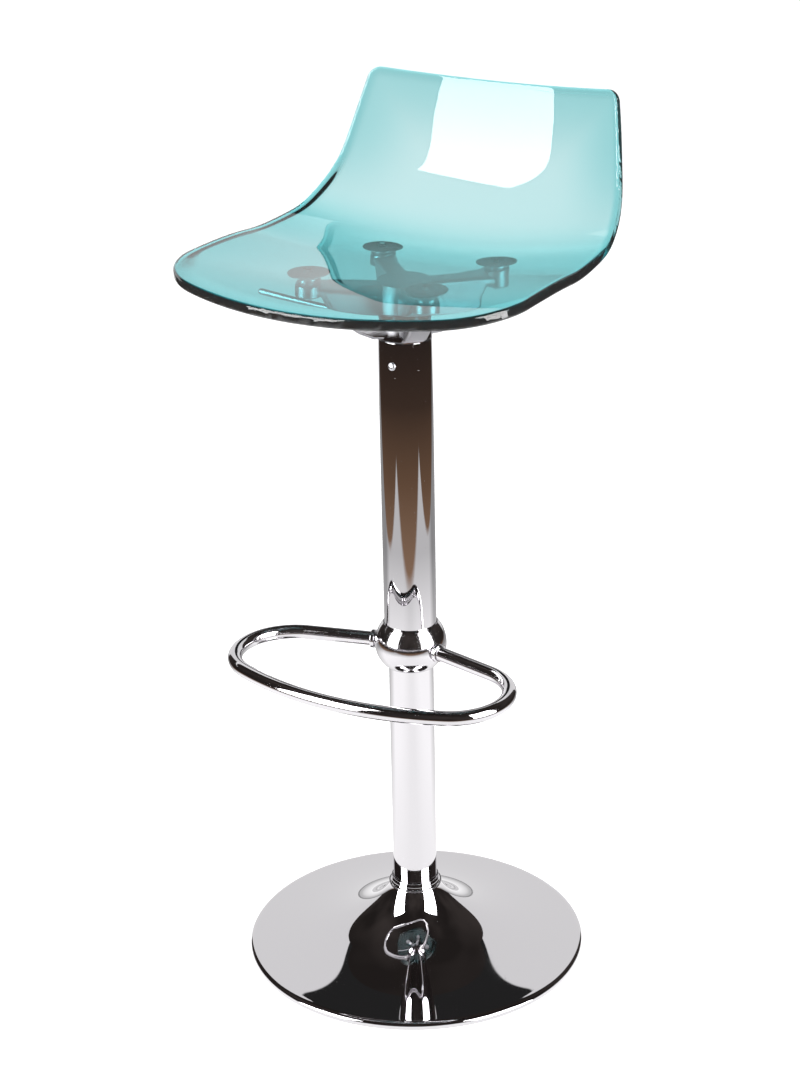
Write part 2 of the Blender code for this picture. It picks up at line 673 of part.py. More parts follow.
def base_pieces():
    """Weight plate, floor ring and neck collar."""
    plate = ring("base_plate", PLATE_RADIUS, PLATE_HOLE, PLATE_BOTTOM, PLATE_TOP, steps=DOME_STEPS)
    for i, (x, y) in enumerate(bolt_places()):
        seat_top = PLATE_BOTTOM + BOLT_HEAD_HEIGHT + 2 * REST_GAP
        seat = rod(f"bolt_seat_{i}", BOLT_HEAD_RADIUS + REST_GAP, 0, seat_top)
        hole = rod(f"bolt_hole_{i}", BOLT_RADIUS + REST_GAP, 0, PLATE_TOP + PLATE_THICKNESS)
        seat.location = (x, y, 0)
        hole.location = (x, y, 0)
        cut(plate, seat, hole)
    inner = INSIDE_RADIUS - FLOOR_RING_WIDTH
    floor_ring = ring("floor_ring", INSIDE_RADIUS, inner, 0, FLOOR_RING_HEIGHT, steps=DOME_STEPS)
    bore = STAND_RADIUS + REST_GAP
    bottom = NECK_HEIGHT + REST_GAP
    lip_top = bottom + COLLAR_LIP_HEIGHT
    top = lip_top + COLLAR_RING_HEIGHT
    collar_profile = [
        (bore + COLLAR_RING_WIDTH, top),
        (bore + COLLAR_RING_WIDTH, lip_top),
        (bore + COLLAR_LIP_WIDTH, lip_top),
        (bore + COLLAR_LIP_WIDTH, bottom),
        (bore, bottom),
        (bore, top),
    ]
    collar = turned("base_collar", collar_profile)
    return finish(plate, "steel"), finish(floor_ring, "rubber"), finish(collar, "chrome")


def bolt_places():
    angles = [2 * math.pi * (i + 0.5) / FLANGE_BOLTS for i in range(FLANGE_BOLTS)]
    return [(BOLT_CIRCLE * math.cos(a), BOLT_CIRCLE * math.sin(a)) for a in angles]


def stand():
    """Stand tube, the foot inside its lower end, the bolts that hold the foot, and the sleeve on top."""
    inside = STAND_RADIUS - STAND_WALL
    tube = ring("stand_tube", STAND_RADIUS, inside, FLANGE_TOP + REST_GAP, STAND_TOP)
    bore = ROD_END_RADIUS + RUN_GAP
    foot_profile = [
        (inside - REST_GAP, SPIGOT_TOP),
        (inside - REST_GAP, FLANGE_TOP),
        (FOOT_RADIUS, FLANGE_TOP),
        (FOOT_RADIUS, FOOT_BOTTOM),
        (bore, FOOT_BOTTOM),
        (bore, SPIGOT_TOP),
    ]
    foot = turned("tube_foot", foot_profile)
    bolts = []
    head_top = PLATE_BOTTOM + REST_GAP + BOLT_HEAD_HEIGHT
    for i, (x, y) in enumerate(bolt_places()):
        hole_bottom = FOOT_BOTTOM - BOLT_GRIP
        hole = rod(f"foot_hole_{i}", BOLT_RADIUS + REST_GAP, hole_bottom, FOOT_BOTTOM + BOLT_GRIP + REST_GAP)
        hole.location = (x, y, 0)
        cut(foot, hole)
        length = FOOT_BOTTOM + BOLT_GRIP - head_top
        bolt = headed(f"flange_bolt_{i + 1}", BOLT_RADIUS, length, BOLT_HEAD_RADIUS, BOLT_HEAD_HEIGHT)
        bolt.location = (x, y, head_top)
        bolts.append(finish(bolt, "steel"))
    sleeve_bore = CYLINDER_RADIUS + RUN_GAP
    flange_bottom = STAND_TOP + REST_GAP
    sleeve_profile = [
        (STAND_RADIUS, flange_bottom + SLEEVE_FLANGE),
        (STAND_RADIUS, flange_bottom),
        (inside - REST_GAP, flange_bottom),
        (inside - REST_GAP, STAND_TOP - SLEEVE_LENGTH),
        (sleeve_bore, STAND_TOP - SLEEVE_LENGTH),
        (sleeve_bore, flange_bottom + SLEEVE_FLANGE),
    ]
    sleeve = turned("guide_sleeve", sleeve_profile)
    return [finish(tube, "chrome"), finish(foot, "steel"), finish(sleeve, "nylon"), *bolts]


def cover():
    """Cover tube and the two screws that hold it on the hub's spigot."""
    tube = ring("cover_tube", COVER_RADIUS, COVER_RADIUS - COVER_WALL, COVER_BOTTOM, COVER_TOP)
    screws = []
    for name, facing in (("front", -1), ("back", 1)):
        hole = rod(f"cover_hole_{name}", TUBE_SCREW_RADIUS + REST_GAP, COVER_RADIUS / 2, 2 * COVER_RADIUS)
        cut(tube, laid(hole, (0, facing, 0), (0, 0, TUBE_SCREW_HEIGHT)))
        length = COVER_RADIUS + REST_GAP - SPIGOT_RADIUS + TUBE_SCREW_LENGTH
        screw = headed(
            f"tube_screw_{name}", TUBE_SCREW_RADIUS, length, TUBE_SCREW_HEAD_RADIUS, TUBE_SCREW_HEAD_HEIGHT
        )
        laid(screw, (0, -facing, 0), (0, facing * (COVER_RADIUS + REST_GAP), TUBE_SCREW_HEIGHT))
        screws.append(finish(screw, "steel"))
    return [finish(tube, "chrome"), *screws]


def footrest_ball():
    """Rounded collar: a half ball above, a flatter half below, bored for the tube and its guide ring."""
    bore = COVER_RADIUS + REST_GAP
    lip = STAND_RADIUS + LIP_SPACE
    ring_bore = STAND_RADIUS + RUN_GAP + GUIDE_RING_WIDTH + REST_GAP
    seat = BALL_HEIGHT - TUBE_SEAT_DROP
    ring_floor = seat - GUIDE_RING_HEIGHT
    middle = (0, BALL_HEIGHT)
    top_angle = math.acos((bore + BALL_LIP) / BALL_RADIUS)
    foot_angle = math.acos((lip + BALL_FOOT_WIDTH) / BALL_RADIUS)
    upper = arc(middle, BALL_RADIUS, BALL_RADIUS, top_angle, 0)
    lower = arc(middle, BALL_RADIUS, BALL_DROP, 0, -foot_angle)
    foot = lower[-1][1]
    inside = [(lip, foot), (lip, ring_floor), (ring_bore, ring_floor), (ring_bore, seat), (bore, seat)]
    ball = turned("footrest_ball", upper + lower[1:] + inside + [(bore, upper[0][1])], steps=ROUND_STEPS)
    for side, facing in (("left", 1), ("right", -1)):
        mouth = rod(
            f"loop_socket_{side}", LOOP_TUBE_RADIUS + REST_GAP, BALL_RADIUS - SOCKET_DEPTH, 2 * BALL_RADIUS
        )
        cut(ball, laid(mouth, loop_direction(facing), (0, 0, BALL_HEIGHT)))
    guide = ring("guide_ring", ring_bore - REST_GAP, STAND_RADIUS + RUN_GAP, ring_floor + REST_GAP, seat)
    return finish(ball, "chrome"), finish(guide, "nylon")


def loop_direction(facing):
    return (facing * math.cos(LOOP_SWEEP), -math.sin(LOOP_SWEEP), 0)


def footrest_loop():
    """Bowed tube: two arms swept out of the ball, two corners, a wide front arc, and a ring on each arm."""
    middle = LOOP_HALF_WIDTH - LOOP_CORNER_RADIUS
    arm_length = (middle + LOOP_CORNER_RADIUS * math.sin(LOOP_SWEEP)) / math.cos(LOOP_SWEEP)
    corner_front = arm_length * math.sin(LOOP_SWEEP) + LOOP_CORNER_RADIUS * math.cos(LOOP_SWEEP)
    front_radius, meet = bow(LOOP_HALF_WIDTH, LOOP_CORNER_RADIUS, corner_front, LOOP_REACH)
    front_angle = math.asin(meet / front_radius)
    start = BALL_RADIUS - SOCKET_DEPTH + REST_GAP
    arms = [(start * math.cos(LOOP_SWEEP), -start * math.sin(LOOP_SWEEP))]
    corner = arc(
        (middle, -corner_front),
        LOOP_CORNER_RADIUS,
        LOOP_CORNER_RADIUS,
        math.pi / 2 - LOOP_SWEEP,
        front_angle - math.pi / 2,
        steps=2 * ARC_STEPS,
    )
    front = arc(
        (0, front_radius - LOOP_REACH),
        front_radius,
        front_radius,
        front_angle - math.pi / 2,
        -math.pi / 2,
        steps=ARC_STEPS,
    )
    half = arms + corner + front[1:]
    path = half + [(-x, y) for x, y in reversed(half[:-1])]
    curve = bpy.data.curves.new("footrest_loop", "CURVE")
    curve.dimensions = "3D"
    curve.bevel_depth = LOOP_TUBE_RADIUS
    curve.bevel_resolution = 4
    curve.use_fill_caps = True
    spline = curve.splines.new("POLY")
    spline.points.add(len(path) - 1)
    for point, (x, y) in zip(spline.points, path):
        point.co = (x, y, 0, 1)
    loop = bpy.data.objects.new("footrest_loop", curve)
    loop.location.z = BALL_HEIGHT
    PARTS.objects.link(loop)
    pieces = [finish(loop, "chrome")]
    for side, facing in (("left", 1), ("right", -1)):
        inner = LOOP_TUBE_RADIUS + REST_GAP
        near = BALL_RADIUS + REST_GAP
        ferrule = ring(
            f"footrest_ferrule_{side}", inner + FERRULE_WIDTH, inner, near, near + FERRULE_LENGTH, steps=24
        )
        laid(ferrule, loop_direction(facing), (0, 0, BALL_HEIGHT))
        pieces.append(finish(ferrule, "chrome"))
    return pieces


def bar_stool():
    base = axis_empty("base_frame", (0, 0, 0))
    spindle = axis_empty("swivel_axis", (0, 0, ROD_SHOULDER))
    carrier = axis_empty("lift_axis", (0, 0, COVER_TOP))
    lever_axis = axis_empty("lever_axis", PIVOT)
    valve_axis = axis_empty("valve_axis", (0, 0, VALVE_TOP))
    cylinder_side, rod_side, valve = gas_spring()
    washers_below, washers_above = swivel_stack()
    lever, pin = lever_rod()
    carry(base, base_dome(), *base_pieces(), *stand(), *washers_below)
    carry(spindle, *rod_side, *washers_above)
    carry(carrier, seat_shell(), *supports(), seat_spider(), *cover(), pin, *cylinder_side)
    carry(carrier, *footrest_ball(), *footrest_loop())
    carry(lever_axis, lever)
    carry(valve_axis, valve)


bar_stool()
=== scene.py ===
import math

import bmesh
import bpy
from mathutils import Matrix, Vector, geometry, kdtree


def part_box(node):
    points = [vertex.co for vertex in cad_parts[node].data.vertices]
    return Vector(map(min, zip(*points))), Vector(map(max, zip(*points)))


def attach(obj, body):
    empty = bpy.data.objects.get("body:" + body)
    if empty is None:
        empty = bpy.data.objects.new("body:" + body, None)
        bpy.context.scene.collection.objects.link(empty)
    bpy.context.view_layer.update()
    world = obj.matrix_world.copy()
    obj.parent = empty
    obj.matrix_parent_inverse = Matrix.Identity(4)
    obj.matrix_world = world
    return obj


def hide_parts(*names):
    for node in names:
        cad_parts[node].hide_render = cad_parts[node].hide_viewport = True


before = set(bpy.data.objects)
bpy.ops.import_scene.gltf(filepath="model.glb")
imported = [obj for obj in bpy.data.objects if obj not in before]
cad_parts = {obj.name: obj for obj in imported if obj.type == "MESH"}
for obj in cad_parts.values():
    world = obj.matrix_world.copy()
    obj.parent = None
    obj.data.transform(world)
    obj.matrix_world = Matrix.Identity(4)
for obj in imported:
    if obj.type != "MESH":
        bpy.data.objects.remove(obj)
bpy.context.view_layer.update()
scene = bpy.context.scene
scene.view_settings.view_transform = "Standard"
print("frame loaded:", len(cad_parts), "nodes")


# camera where the photograph was taken from, 30 degrees to the sitter's left of straight ahead
viewpoint = {
    "place": (1.25, -2.165064, 1.544203),
    "right": (0.867858, 0.496453, -0.018883),
    "up": (-0.174588, 0.340342, 0.923951),
    "forward": (-0.465125, 0.798562, -0.382044),
    "lens": 83.716,  # on a sensor 36 mm high
}


def makeCamera():
    lens = bpy.data.cameras.new("camera")
    lens.sensor_fit = "VERTICAL"
    lens.sensor_height = 36
    lens.lens = viewpoint["lens"]
    lens.clip_end = 60
    camera = bpy.data.objects.new("camera", lens)
    scene.collection.objects.link(camera)
    axes = [Vector(viewpoint["right"]), Vector(viewpoint["up"]), -Vector(viewpoint["forward"])]
    turn = Matrix(axes).transposed().to_4x4()
    camera.matrix_world = Matrix.Translation(viewpoint["place"]) @ turn
    scene.camera = camera


def newFinish(name):
    material = bpy.data.materials.new(name)
    material.use_nodes = True
    tree = material.node_tree
    return material, tree, tree.nodes["Principled BSDF"]


def addNode(tree, kind, settings=None, **values):
    node = tree.nodes.new(kind)
    for name, value in (settings or {}).items():
        setattr(node, name, value)
    for name, value in values.items():
        node.inputs[name.replace("_", " ")].default_value = value
    return node


# a stop is a position with a grey level or a colour
def ramp(tree, source, stops):
    node = tree.nodes.new("ShaderNodeValToRGB")
    points = node.color_ramp.elements
    for position, _ in stops[1:-1]:
        points.new(position)
    for i, (position, value) in enumerate(stops):
        points[i].position = position
        points[i].color = (*value, 1) if isinstance(value, tuple) else (value, value, value, 1)
    tree.links.new(source, node.inputs["Fac"])
    return node.outputs["Color"]


def objectPlace(tree, stretch=(1, 1, 1)):
    place = addNode(tree, "ShaderNodeTexCoord")
    mapping = addNode(tree, "ShaderNodeMapping")
    mapping.inputs["Scale"].default_value = stretch
    tree.links.new(place.outputs["Object"], mapping.inputs["Vector"])
    return mapping.outputs["Vector"]


def noise(tree, place, scale, detail=4, rough=0.55):
    node = addNode(tree, "ShaderNodeTexNoise", Scale=scale, Detail=detail, Roughness=rough)
    tree.links.new(place, node.inputs["Vector"])
    return node.outputs["Fac"]


def math2(tree, operation, a, b):
    node = addNode(tree, "ShaderNodeMath", {"operation": operation})
    for socket, value in zip(node.inputs, (a, b)):
        if isinstance(value, (int, float)):
            socket.default_value = value
        else:
            tree.links.new(value, socket)
    return node.outputs["Value"]


def mixColours(tree, factor, first, second):
    node = addNode(tree, "ShaderNodeMix", {"data_type": "RGBA"})
    tree.links.new(factor, node.inputs["Factor"])
    node.inputs[6].default_value = (*first, 1)
    node.inputs[7].default_value = (*second, 1)
    return node.outputs[2]


def bump(tree, shader, height, strength, distance):
    node = addNode(tree, "ShaderNodeBump", Strength=strength, Distance=distance)
    tree.links.new(height, node.inputs["Height"])
    tree.links.new(node.outputs["Normal"], shader.inputs["Normal"])


# bright plating, with hand smudges, dust and a faint lie of the polish
def platedFinish(name, colour, smudge, dust, grain, rough=0.012):
    material, tree, shader = newFinish(name)
    place = objectPlace(tree)
    shader.inputs["Metallic"].default_value = 1
    hands = ramp(tree, noise(tree, place, 11, 6, 0.62), ((0.52, 0.0), (0.78, smudge)))
    specks = ramp(tree, noise(tree, place, 420, 2, 0.5), ((0.70, 0.0), (0.78, dust)))
    polish = math2(tree, "MULTIPLY", noise(tree, objectPlace(tree, grain), 60, 3, 0.6), 0.018)
    total = math2(tree, "ADD", math2(tree, "ADD", hands, specks), polish)
    tree.links.new(math2(tree, "ADD", total, rough), shader.inputs["Roughness"])
    dull = tuple(0.86 * c for c in colour)
    tree.links.new(mixColours(tree, specks, colour, dull), shader.inputs["Base Color"])
    bump(tree, shader, noise(tree, place, 34, 2, 0.4), 0.02, 0.0006)
    return material


# clear tinted plastic: white shader, the colour is in its depth
def clearFinish(name, look):
    material, tree, shader = newFinish(name)
    shader.inputs["Base Color"].default_value = (1, 1, 1, 1)
    shader.inputs["Transmission Weight"].default_value = look["clear"]
    shader.inputs["IOR"].default_value = look["ior"]
    place = objectPlace(tree)
    hands = ramp(tree, noise(tree, place, 7, 5, 0.6), ((0.56, 0.0), (0.80, look["smudge"])))
    tree.links.new(hands, shader.inputs["Roughness"])
    scratches = noise(tree, objectPlace(tree, (1, 0.12, 1)), 260, 2, 0.5)
    bump(tree, shader, scratches, 0.012, 0.0002)
    depth = addNode(tree, "ShaderNodeVolumeAbsorption")
    depth.inputs["Color"].default_value = (*look["tint"], 1)
    depth.inputs["Density"].default_value = look["density"]
    tree.links.new(depth.outputs["Volume"], tree.nodes["Material Output"].inputs["Volume"])
    return material


# zinc-plated steel of screws, washers and the weight plate
def steelFinish(name, colour, rough):
    material, tree, shader = newFinish(name)
    place = objectPlace(tree)
    shader.inputs["Metallic"].default_value = 1
    cloud = noise(tree, place, 90, 5, 0.6)
    tree.links.new(mixColours(tree, cloud, tuple(0.8 * c for c in colour), colour), shader.inputs["Base Color"])
    tree.links.new(ramp(tree, cloud, ((0.3, rough - 0.1), (0.7, rough + 0.1))), shader.inputs["Roughness"])
    bump(tree, shader, noise(tree, place, 700, 2, 0.5), 0.08, 0.0002)
    return material


# cast carrier: satin above, polished where it meets the tube
def castFinish(name, colour, rough, satinFrom):
    material, tree, shader = newFinish(name)
    place = objectPlace(tree)
    shader.inputs["Metallic"].default_value = 1
    split = addNode(tree, "ShaderNodeSeparateXYZ")
    tree.links.new(place, split.inputs[0])
    cloud = noise(tree, place, 90, 5, 0.6)
    satin = ramp(tree, split.outputs["Z"], ((satinFrom, 0.03), (satinFrom + 0.010, rough)))
    uneven = ramp(tree, cloud, ((0.3, 0.8), (0.7, 1.0)))
    tree.links.new(math2(tree, "MULTIPLY", satin, uneven), shader.inputs["Roughness"])
    tree.links.new(mixColours(tree, cloud, tuple(0.85 * c for c in colour), colour), shader.inputs["Base Color"])
    bump(tree, shader, noise(tree, place, 300, 2, 0.5), 0.04, 0.0002)
    return material


# moulded nylon and rubber
def mouldedFinish(name, colour, rough, pit):
    material, tree, shader = newFinish(name)
    place = objectPlace(tree)
    cloud = noise(tree, place, 60, 4, 0.6)
    tree.links.new(mixColours(tree, cloud, colour, tuple(1.7 * c + 0.01 for c in colour)), shader.inputs["Base Color"])
    tree.links.new(ramp(tree, cloud, ((0.3, rough), (0.7, rough + 0.12))), shader.inputs["Roughness"])
    bump(tree, shader, noise(tree, place, 900, 3, 0.6), pit, 0.0003)
    return material


chromeColour = (0.64, 0.625, 0.645)
finishes = {
    "base": platedFinish("baseChrome", chromeColour, 0.035, 0.10, (1, 1, 1)),
    "tube": platedFinish("tubeChrome", chromeColour, 0.10, 0.20, (1, 1, 0.05)),
    "loop": platedFinish("loopChrome", chromeColour, 0.14, 0.25, (1, 1, 0.3), 0.055),
    "ball": platedFinish("ballChrome", chromeColour, 0.16, 0.25, (0.2, 0.2, 3), 0.10),
    "cast": castFinish("satinCast", (0.37, 0.37, 0.39), 0.40, 0.741),
    "seat": clearFinish("clearTeal", {"ior": 1.49, "clear": 0.99, "smudge": 0.035, "tint": (0.074, 0.69, 0.715),
                                      "density": 175}),
    "steel": steelFinish("zincSteel", (0.60, 0.60, 0.62), 0.30),
    "nylon": mouldedFinish("blackNylon", (0.02, 0.02, 0.022), 0.42, 0.10),
    "rubber": mouldedFinish("greyRubber", (0.030, 0.034, 0.036), 0.70, 0.25),
}
print("finishes made:", len(finishes))


def spinProfile(points, steps, closed=True):
    bm = bmesh.new()
    verts = [bm.verts.new((r, 0, z)) for r, z in points]
    edges = [bm.edges.new(pair) for pair in zip(verts, verts[1:])]
    if closed:
        edges.append(bm.edges.new((verts[-1], verts[0])))
    bmesh.ops.spin(bm, geom=verts + edges, cent=(0, 0, 0), axis=(0, 0, 1), angle=2 * math.pi, steps=steps,
                   use_merge=True, use_duplicate=False)
    bmesh.ops.remove_doubles(bm, verts=bm.verts, dist=1e-6)
    bmesh.ops.recalc_face_normals(bm, faces=bm.faces)
    return bm


def softenEdges(bm, width, segments=3, above=30):
    sharp = [e for e in bm.edges if len(e.link_faces) == 2 and e.calc_face_angle(0) > math.radians(above)]
    bmesh.ops.bevel(bm, geom=sharp, offset=width, offset_type="OFFSET", segments=segments, profile=0.5,
                    affect="EDGES", material=-1, clamp_overlap=True)


def arcPoints(centre, wide, high, start, end, steps):
    angles = [math.radians(start + (end - start) * i / steps) for i in range(steps + 1)]
    return [(centre[0] + wide * math.cos(a), centre[1] + high * math.sin(a)) for a in angles]


def looseObject(name, bm):
    mesh = bpy.data.meshes.new(name)
    bm.to_mesh(mesh)
    bm.free()
    piece = bpy.data.objects.new(name, mesh)
    scene.collection.objects.link(piece)
    return piece


def shade(mesh, sharp):
    mesh.shade_smooth()
    mesh.set_sharp_from_angle(angle=math.radians(sharp))


def addPiece(piece, body, nodes, finish, sharp=32, even=True):
    shade(piece.data, sharp)
    if even:  # flat faces keep their own lie beside small rounded edges
        piece.modifiers.new("evenShading", "WEIGHTED_NORMAL").keep_sharp = True
    piece.data.materials.clear()
    piece.data.materials.append(finishes[finish])
    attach(piece, body)
    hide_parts(*nodes)
    return piece


# joins or cuts with helper solids, then keeps only the result
def combine(piece, helpers, operation):
    for helper in helpers:
        step = piece.modifiers.new(operation.lower(), "BOOLEAN")
        step.operation = operation
        step.solver = "MANIFOLD"
        step.object = helper
    bpy.context.view_layer.update()
    made = bpy.data.meshes.new_from_object(piece.evaluated_get(bpy.context.evaluated_depsgraph_get()))
    piece.modifiers.clear()
    piece.data = made
    for helper in helpers:
        bpy.data.objects.remove(helper, do_unlink=True)
    return piece


def pointTo(direction, place):
    return Matrix.Translation(place) @ Vector(direction).to_track_quat("Z", "Y").to_matrix().to_4x4()


def solidRod(name, radius, length, matrix, segments=48):
    bm = bmesh.new()
    bmesh.ops.create_cone(bm, cap_ends=True, segments=segments, radius1=radius, radius2=radius, depth=length,
                          matrix=matrix @ Matrix.Translation((0, 0, length / 2)))
    return looseObject(name, bm)


# pressed chrome dome the stool stands on
baseShell = {
    "radius": 0.193, "wall": 0.0015, "rollWide": 0.0095, "rollTall": 0.0045, "rollFoot": 0.0043, "skirt": 0.0008,
    "flareEnd": 0.180, "flareLow": 0.0091,
    "neck": 0.029, "neckTop": 0.077, "steepOut": 0.012, "steepFall": 0.034, "flareOut": 0.068, "flareRise": 0.006,
}


def makeBaseShell():
    b = baseShell
    flare = geometry.interpolate_bezier(
        Vector((b["neck"], 0, b["neckTop"])),
        Vector((b["neck"] + b["steepOut"], 0, b["neckTop"] - b["steepFall"])),
        Vector((b["neck"] + b["flareOut"], 0, b["flareLow"] + b["flareRise"])),
        Vector((b["flareEnd"], 0, b["flareLow"])), 72)
    roll = arcPoints((b["radius"] - b["rollWide"], b["rollFoot"]), b["rollWide"], b["rollTall"], 84, 0, 18)
    outline = [(p.x, p.z) for p in flare] + roll + [(b["radius"], b["skirt"])]
    piece = looseObject("baseShell", spinProfile(outline, 192, closed=False))
    sheet = piece.modifiers.new("sheet", "SOLIDIFY")
    sheet.thickness = b["wall"]
    sheet.offset = -1
    sheet.use_even_offset = True
    return addPiece(piece, "base", ["base_dome"], "base", 40, False)


neckCollar = {"bore": 0.0253, "ring": 0.0271, "lip": 0.0303, "bottom": 0.0773, "lipTop": 0.0803, "top": 0.0863,
              "grooveDeep": 0.0012, "grooveTop": 0.0008, "edge": 0.0005}


def makeNeckCollar():
    c = neckCollar
    groove = c["lipTop"] - c["grooveDeep"]
    outline = [(c["ring"], c["top"]), (c["ring"], c["lipTop"] + c["grooveTop"]), (c["ring"] + c["grooveDeep"], groove),
               (c["lip"], groove), (c["lip"], c["bottom"]), (c["bore"], c["bottom"]), (c["bore"], c["top"])]
    bm = spinProfile(outline, 128)
    softenEdges(bm, c["edge"])
    return addPiece(looseObject("neckCollar", bm), "base", ["base_collar"], "base")


underBase = {"plate": 0.1815, "hole": 0.015, "plateBottom": 0.0023, "plateTop": 0.0073, "ringOut": 0.1912,
             "ringIn": 0.1692, "ringTop": 0.002, "grooves": (0.006, 0.013), "grooveWide": 0.002, "grooveSlope": 0.0004,
             "grooveDeep": 0.0006, "boltCircle": 0.0325, "boltSeat": 0.0053, "boltSeatTop": 0.0054, "boltHole": 0.0033}


def makeUnderBase():
    u = underBase
    outline = [(u["plate"], u["plateTop"]), (u["plate"], u["plateBottom"]), (u["hole"], u["plateBottom"]),
               (u["hole"], u["plateTop"])]
    bm = spinProfile(outline, 128)
    softenEdges(bm, 0.0004, 2)
    plate = looseObject("weightPlate", bm)
    cutters = []
    for i in range(4):
        turn = math.radians(45 + 90 * i)
        spot = (u["boltCircle"] * math.cos(turn), u["boltCircle"] * math.sin(turn), 0)
        cutters.append(solidRod("boltSeat", u["boltSeat"], u["boltSeatTop"], Matrix.Translation(spot)))
        cutters.append(solidRod("boltHole", u["boltHole"], 0.02, Matrix.Translation(spot)))
    combine(plate, cutters, "DIFFERENCE")
    addPiece(plate, "base", ["base_plate"], "steel")
    # soft ring with two shallow grooves underneath
    r = u["ringOut"]
    face = [(r, u["ringTop"]), (r, 0)]
    wide, slope, deep = u["grooveWide"], u["grooveSlope"], u["grooveDeep"]
    for shift in u["grooves"]:
        out = r - shift
        face += [(out, 0), (out - slope, deep), (out - wide + slope, deep), (out - wide, 0)]
    face += [(u["ringIn"], 0), (u["ringIn"], u["ringTop"])]
    addPiece(looseObject("floorRing", spinProfile(face, 160)), "base", ["floor_ring"], "rubber")


# round head with a cross or hex recess; local Z points out of the head
def screwWith(name, shank, length, head, height, recess, matrix):
    dome = arcPoints((0, 0), head, height, 90, 12, 8)
    outline = [(0, height)] + dome[1:] + [(head, 0), (shank, 0), (shank, -length + shank * 0.4),
                                           (shank * 0.6, -length), (0, -length)]
    bm = spinProfile(outline, 40, closed=False)
    piece = looseObject(name, bm)
    cutters = []
    if recess == "cross":
        for turn in (0, 90):
            slot = bmesh.new()
            bmesh.ops.create_cube(slot, size=1)
            bmesh.ops.scale(slot, vec=(head * 1.15, head * 0.24, height * 1.2), verts=slot.verts)
            bmesh.ops.translate(slot, vec=(0, 0, height * 0.95), verts=slot.verts)
            bmesh.ops.rotate(slot, matrix=Matrix.Rotation(math.radians(turn + 20), 3, "Z"), verts=slot.verts)
            cutters.append(looseObject("driverSlot", slot))
    else:
        cutters.append(solidRod("driverHex", head * 0.55, height * 2, Matrix.Translation((0, 0, height * 0.35)), 6))
    combine(piece, cutters, "DIFFERENCE")
    piece.data.transform(matrix)
    return piece


flangeBolt = {"shank": 0.003, "head": 0.005, "headTall": 0.0025}


def makeFlangeBolts():
    f = flangeBolt
    for i in range(4):
        low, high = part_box(f"flange_bolt_{i + 1}")
        middle = (low + high) / 2
        headTop = low.z + f["headTall"]
        place = Matrix.Translation((middle.x, middle.y, headTop)) @ Matrix.Rotation(math.pi, 4, "X")
        length = high.z - low.z - f["headTall"]
        bolt = screwWith(f"flangeBolt{i + 1}", f["shank"], length, f["head"], f["headTall"], "hex", place)
        addPiece(bolt, "base", [f"flange_bolt_{i + 1}"], "steel")


makeBaseShell()
makeNeckCollar()
makeUnderBase()
makeFlangeBolts()
print("base made")


# the two chrome tubes of the column
columnTubes = {"stand": 0.025, "standWall": 0.002, "cover": 0.029, "coverWall": 0.0015, "endRing": 0.002, "edge": 0.0005}


def makeTube(name, node, body, radius, wall):
    low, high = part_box(node)
    near = columnTubes["endRing"]  # a ring near each end keeps the long wall straight
    rings = (high.z, high.z - near, low.z + near, low.z)
    outline = [(radius, z) for z in rings] + [(radius - wall, z) for z in reversed(rings)]
    bm = spinProfile(outline, 128)
    softenEdges(bm, columnTubes["edge"])
    return addPiece(looseObject(name, bm), body, [node], "tube")


tubeScrew = {"shank": 0.0025, "head": 0.0046, "headTall": 0.0022, "face": 0.0293}


def makeTubeScrews():
    t = tubeScrew
    for end, facing in (("front", -1), ("back", 1)):
        low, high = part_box(f"tube_screw_{end}")
        middle = (low + high) / 2
        length = high.y - low.y - t["headTall"]
        place = pointTo((0, facing, 0), (0, facing * t["face"], middle.z))
        screw = screwWith(f"tubeScrew_{end}", t["shank"], length, t["head"], t["headTall"], "cross", place)
        addPiece(screw, "seat", [f"tube_screw_{end}"], "steel")


footBall = {"height": 0.380, "radius": 0.040, "drop": 0.035, "bore": 0.0293, "lip": 0.0008, "foot": 0.0282,
            "footBore": 0.026, "ringBore": 0.0286, "seat": 0.368, "ringFloor": 0.363, "socket": 0.0083, "depth": 0.007,
            "guideOut": 0.0283, "guideIn": 0.0255}


def makeFootBall():
    b = footBall
    topTurn = math.degrees(math.acos((b["bore"] + b["lip"]) / b["radius"]))
    footTurn = math.degrees(math.acos(b["foot"] / b["radius"]))
    upper = arcPoints((0, b["height"]), b["radius"], b["radius"], topTurn, 0, 28)
    lower = arcPoints((0, b["height"]), b["radius"], b["drop"], 0, -footTurn, 28)
    foot = lower[-1][1]
    inside = [(b["footBore"], foot), (b["footBore"], b["ringFloor"]), (b["ringBore"], b["ringFloor"]),
              (b["ringBore"], b["seat"]), (b["bore"], b["seat"]), (b["bore"], upper[0][1])]
    outline = upper + lower[1:] + inside
    ball = looseObject("footBall", spinProfile(outline, 128))
    sockets = []
    for facing in (1, -1):
        way = Vector((facing * math.cos(loopSweep), -math.sin(loopSweep), 0))
        spot = Vector((0, 0, b["height"])) + way * (b["radius"] - b["depth"])
        sockets.append(solidRod("loopSocket", b["socket"], 0.03, pointTo(way, spot)))
    combine(ball, sockets, "DIFFERENCE")
    addPiece(ball, "seat", ["footrest_ball"], "ball", 40, False)
    low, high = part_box("guide_ring")
    outer, inner = b["guideOut"], b["guideIn"]
    ring = spinProfile([(outer, high.z), (outer, low.z), (inner, low.z), (inner, high.z)], 96)
    softenEdges(ring, 0.0004, 2)
    addPiece(looseObject("guideRing", ring), "seat", ["guide_ring"], "nylon")


loopSweep = math.radians(14.5)
footLoop = {"tube": 0.008, "halfWidth": 0.162, "corner": 0.062, "reach": 0.172, "start": 0.0333, "height": 0.380,
            "ferruleBore": 0.0083, "ferrule": 0.0105, "ferruleFrom": 0.0403, "ferruleLong": 0.005}


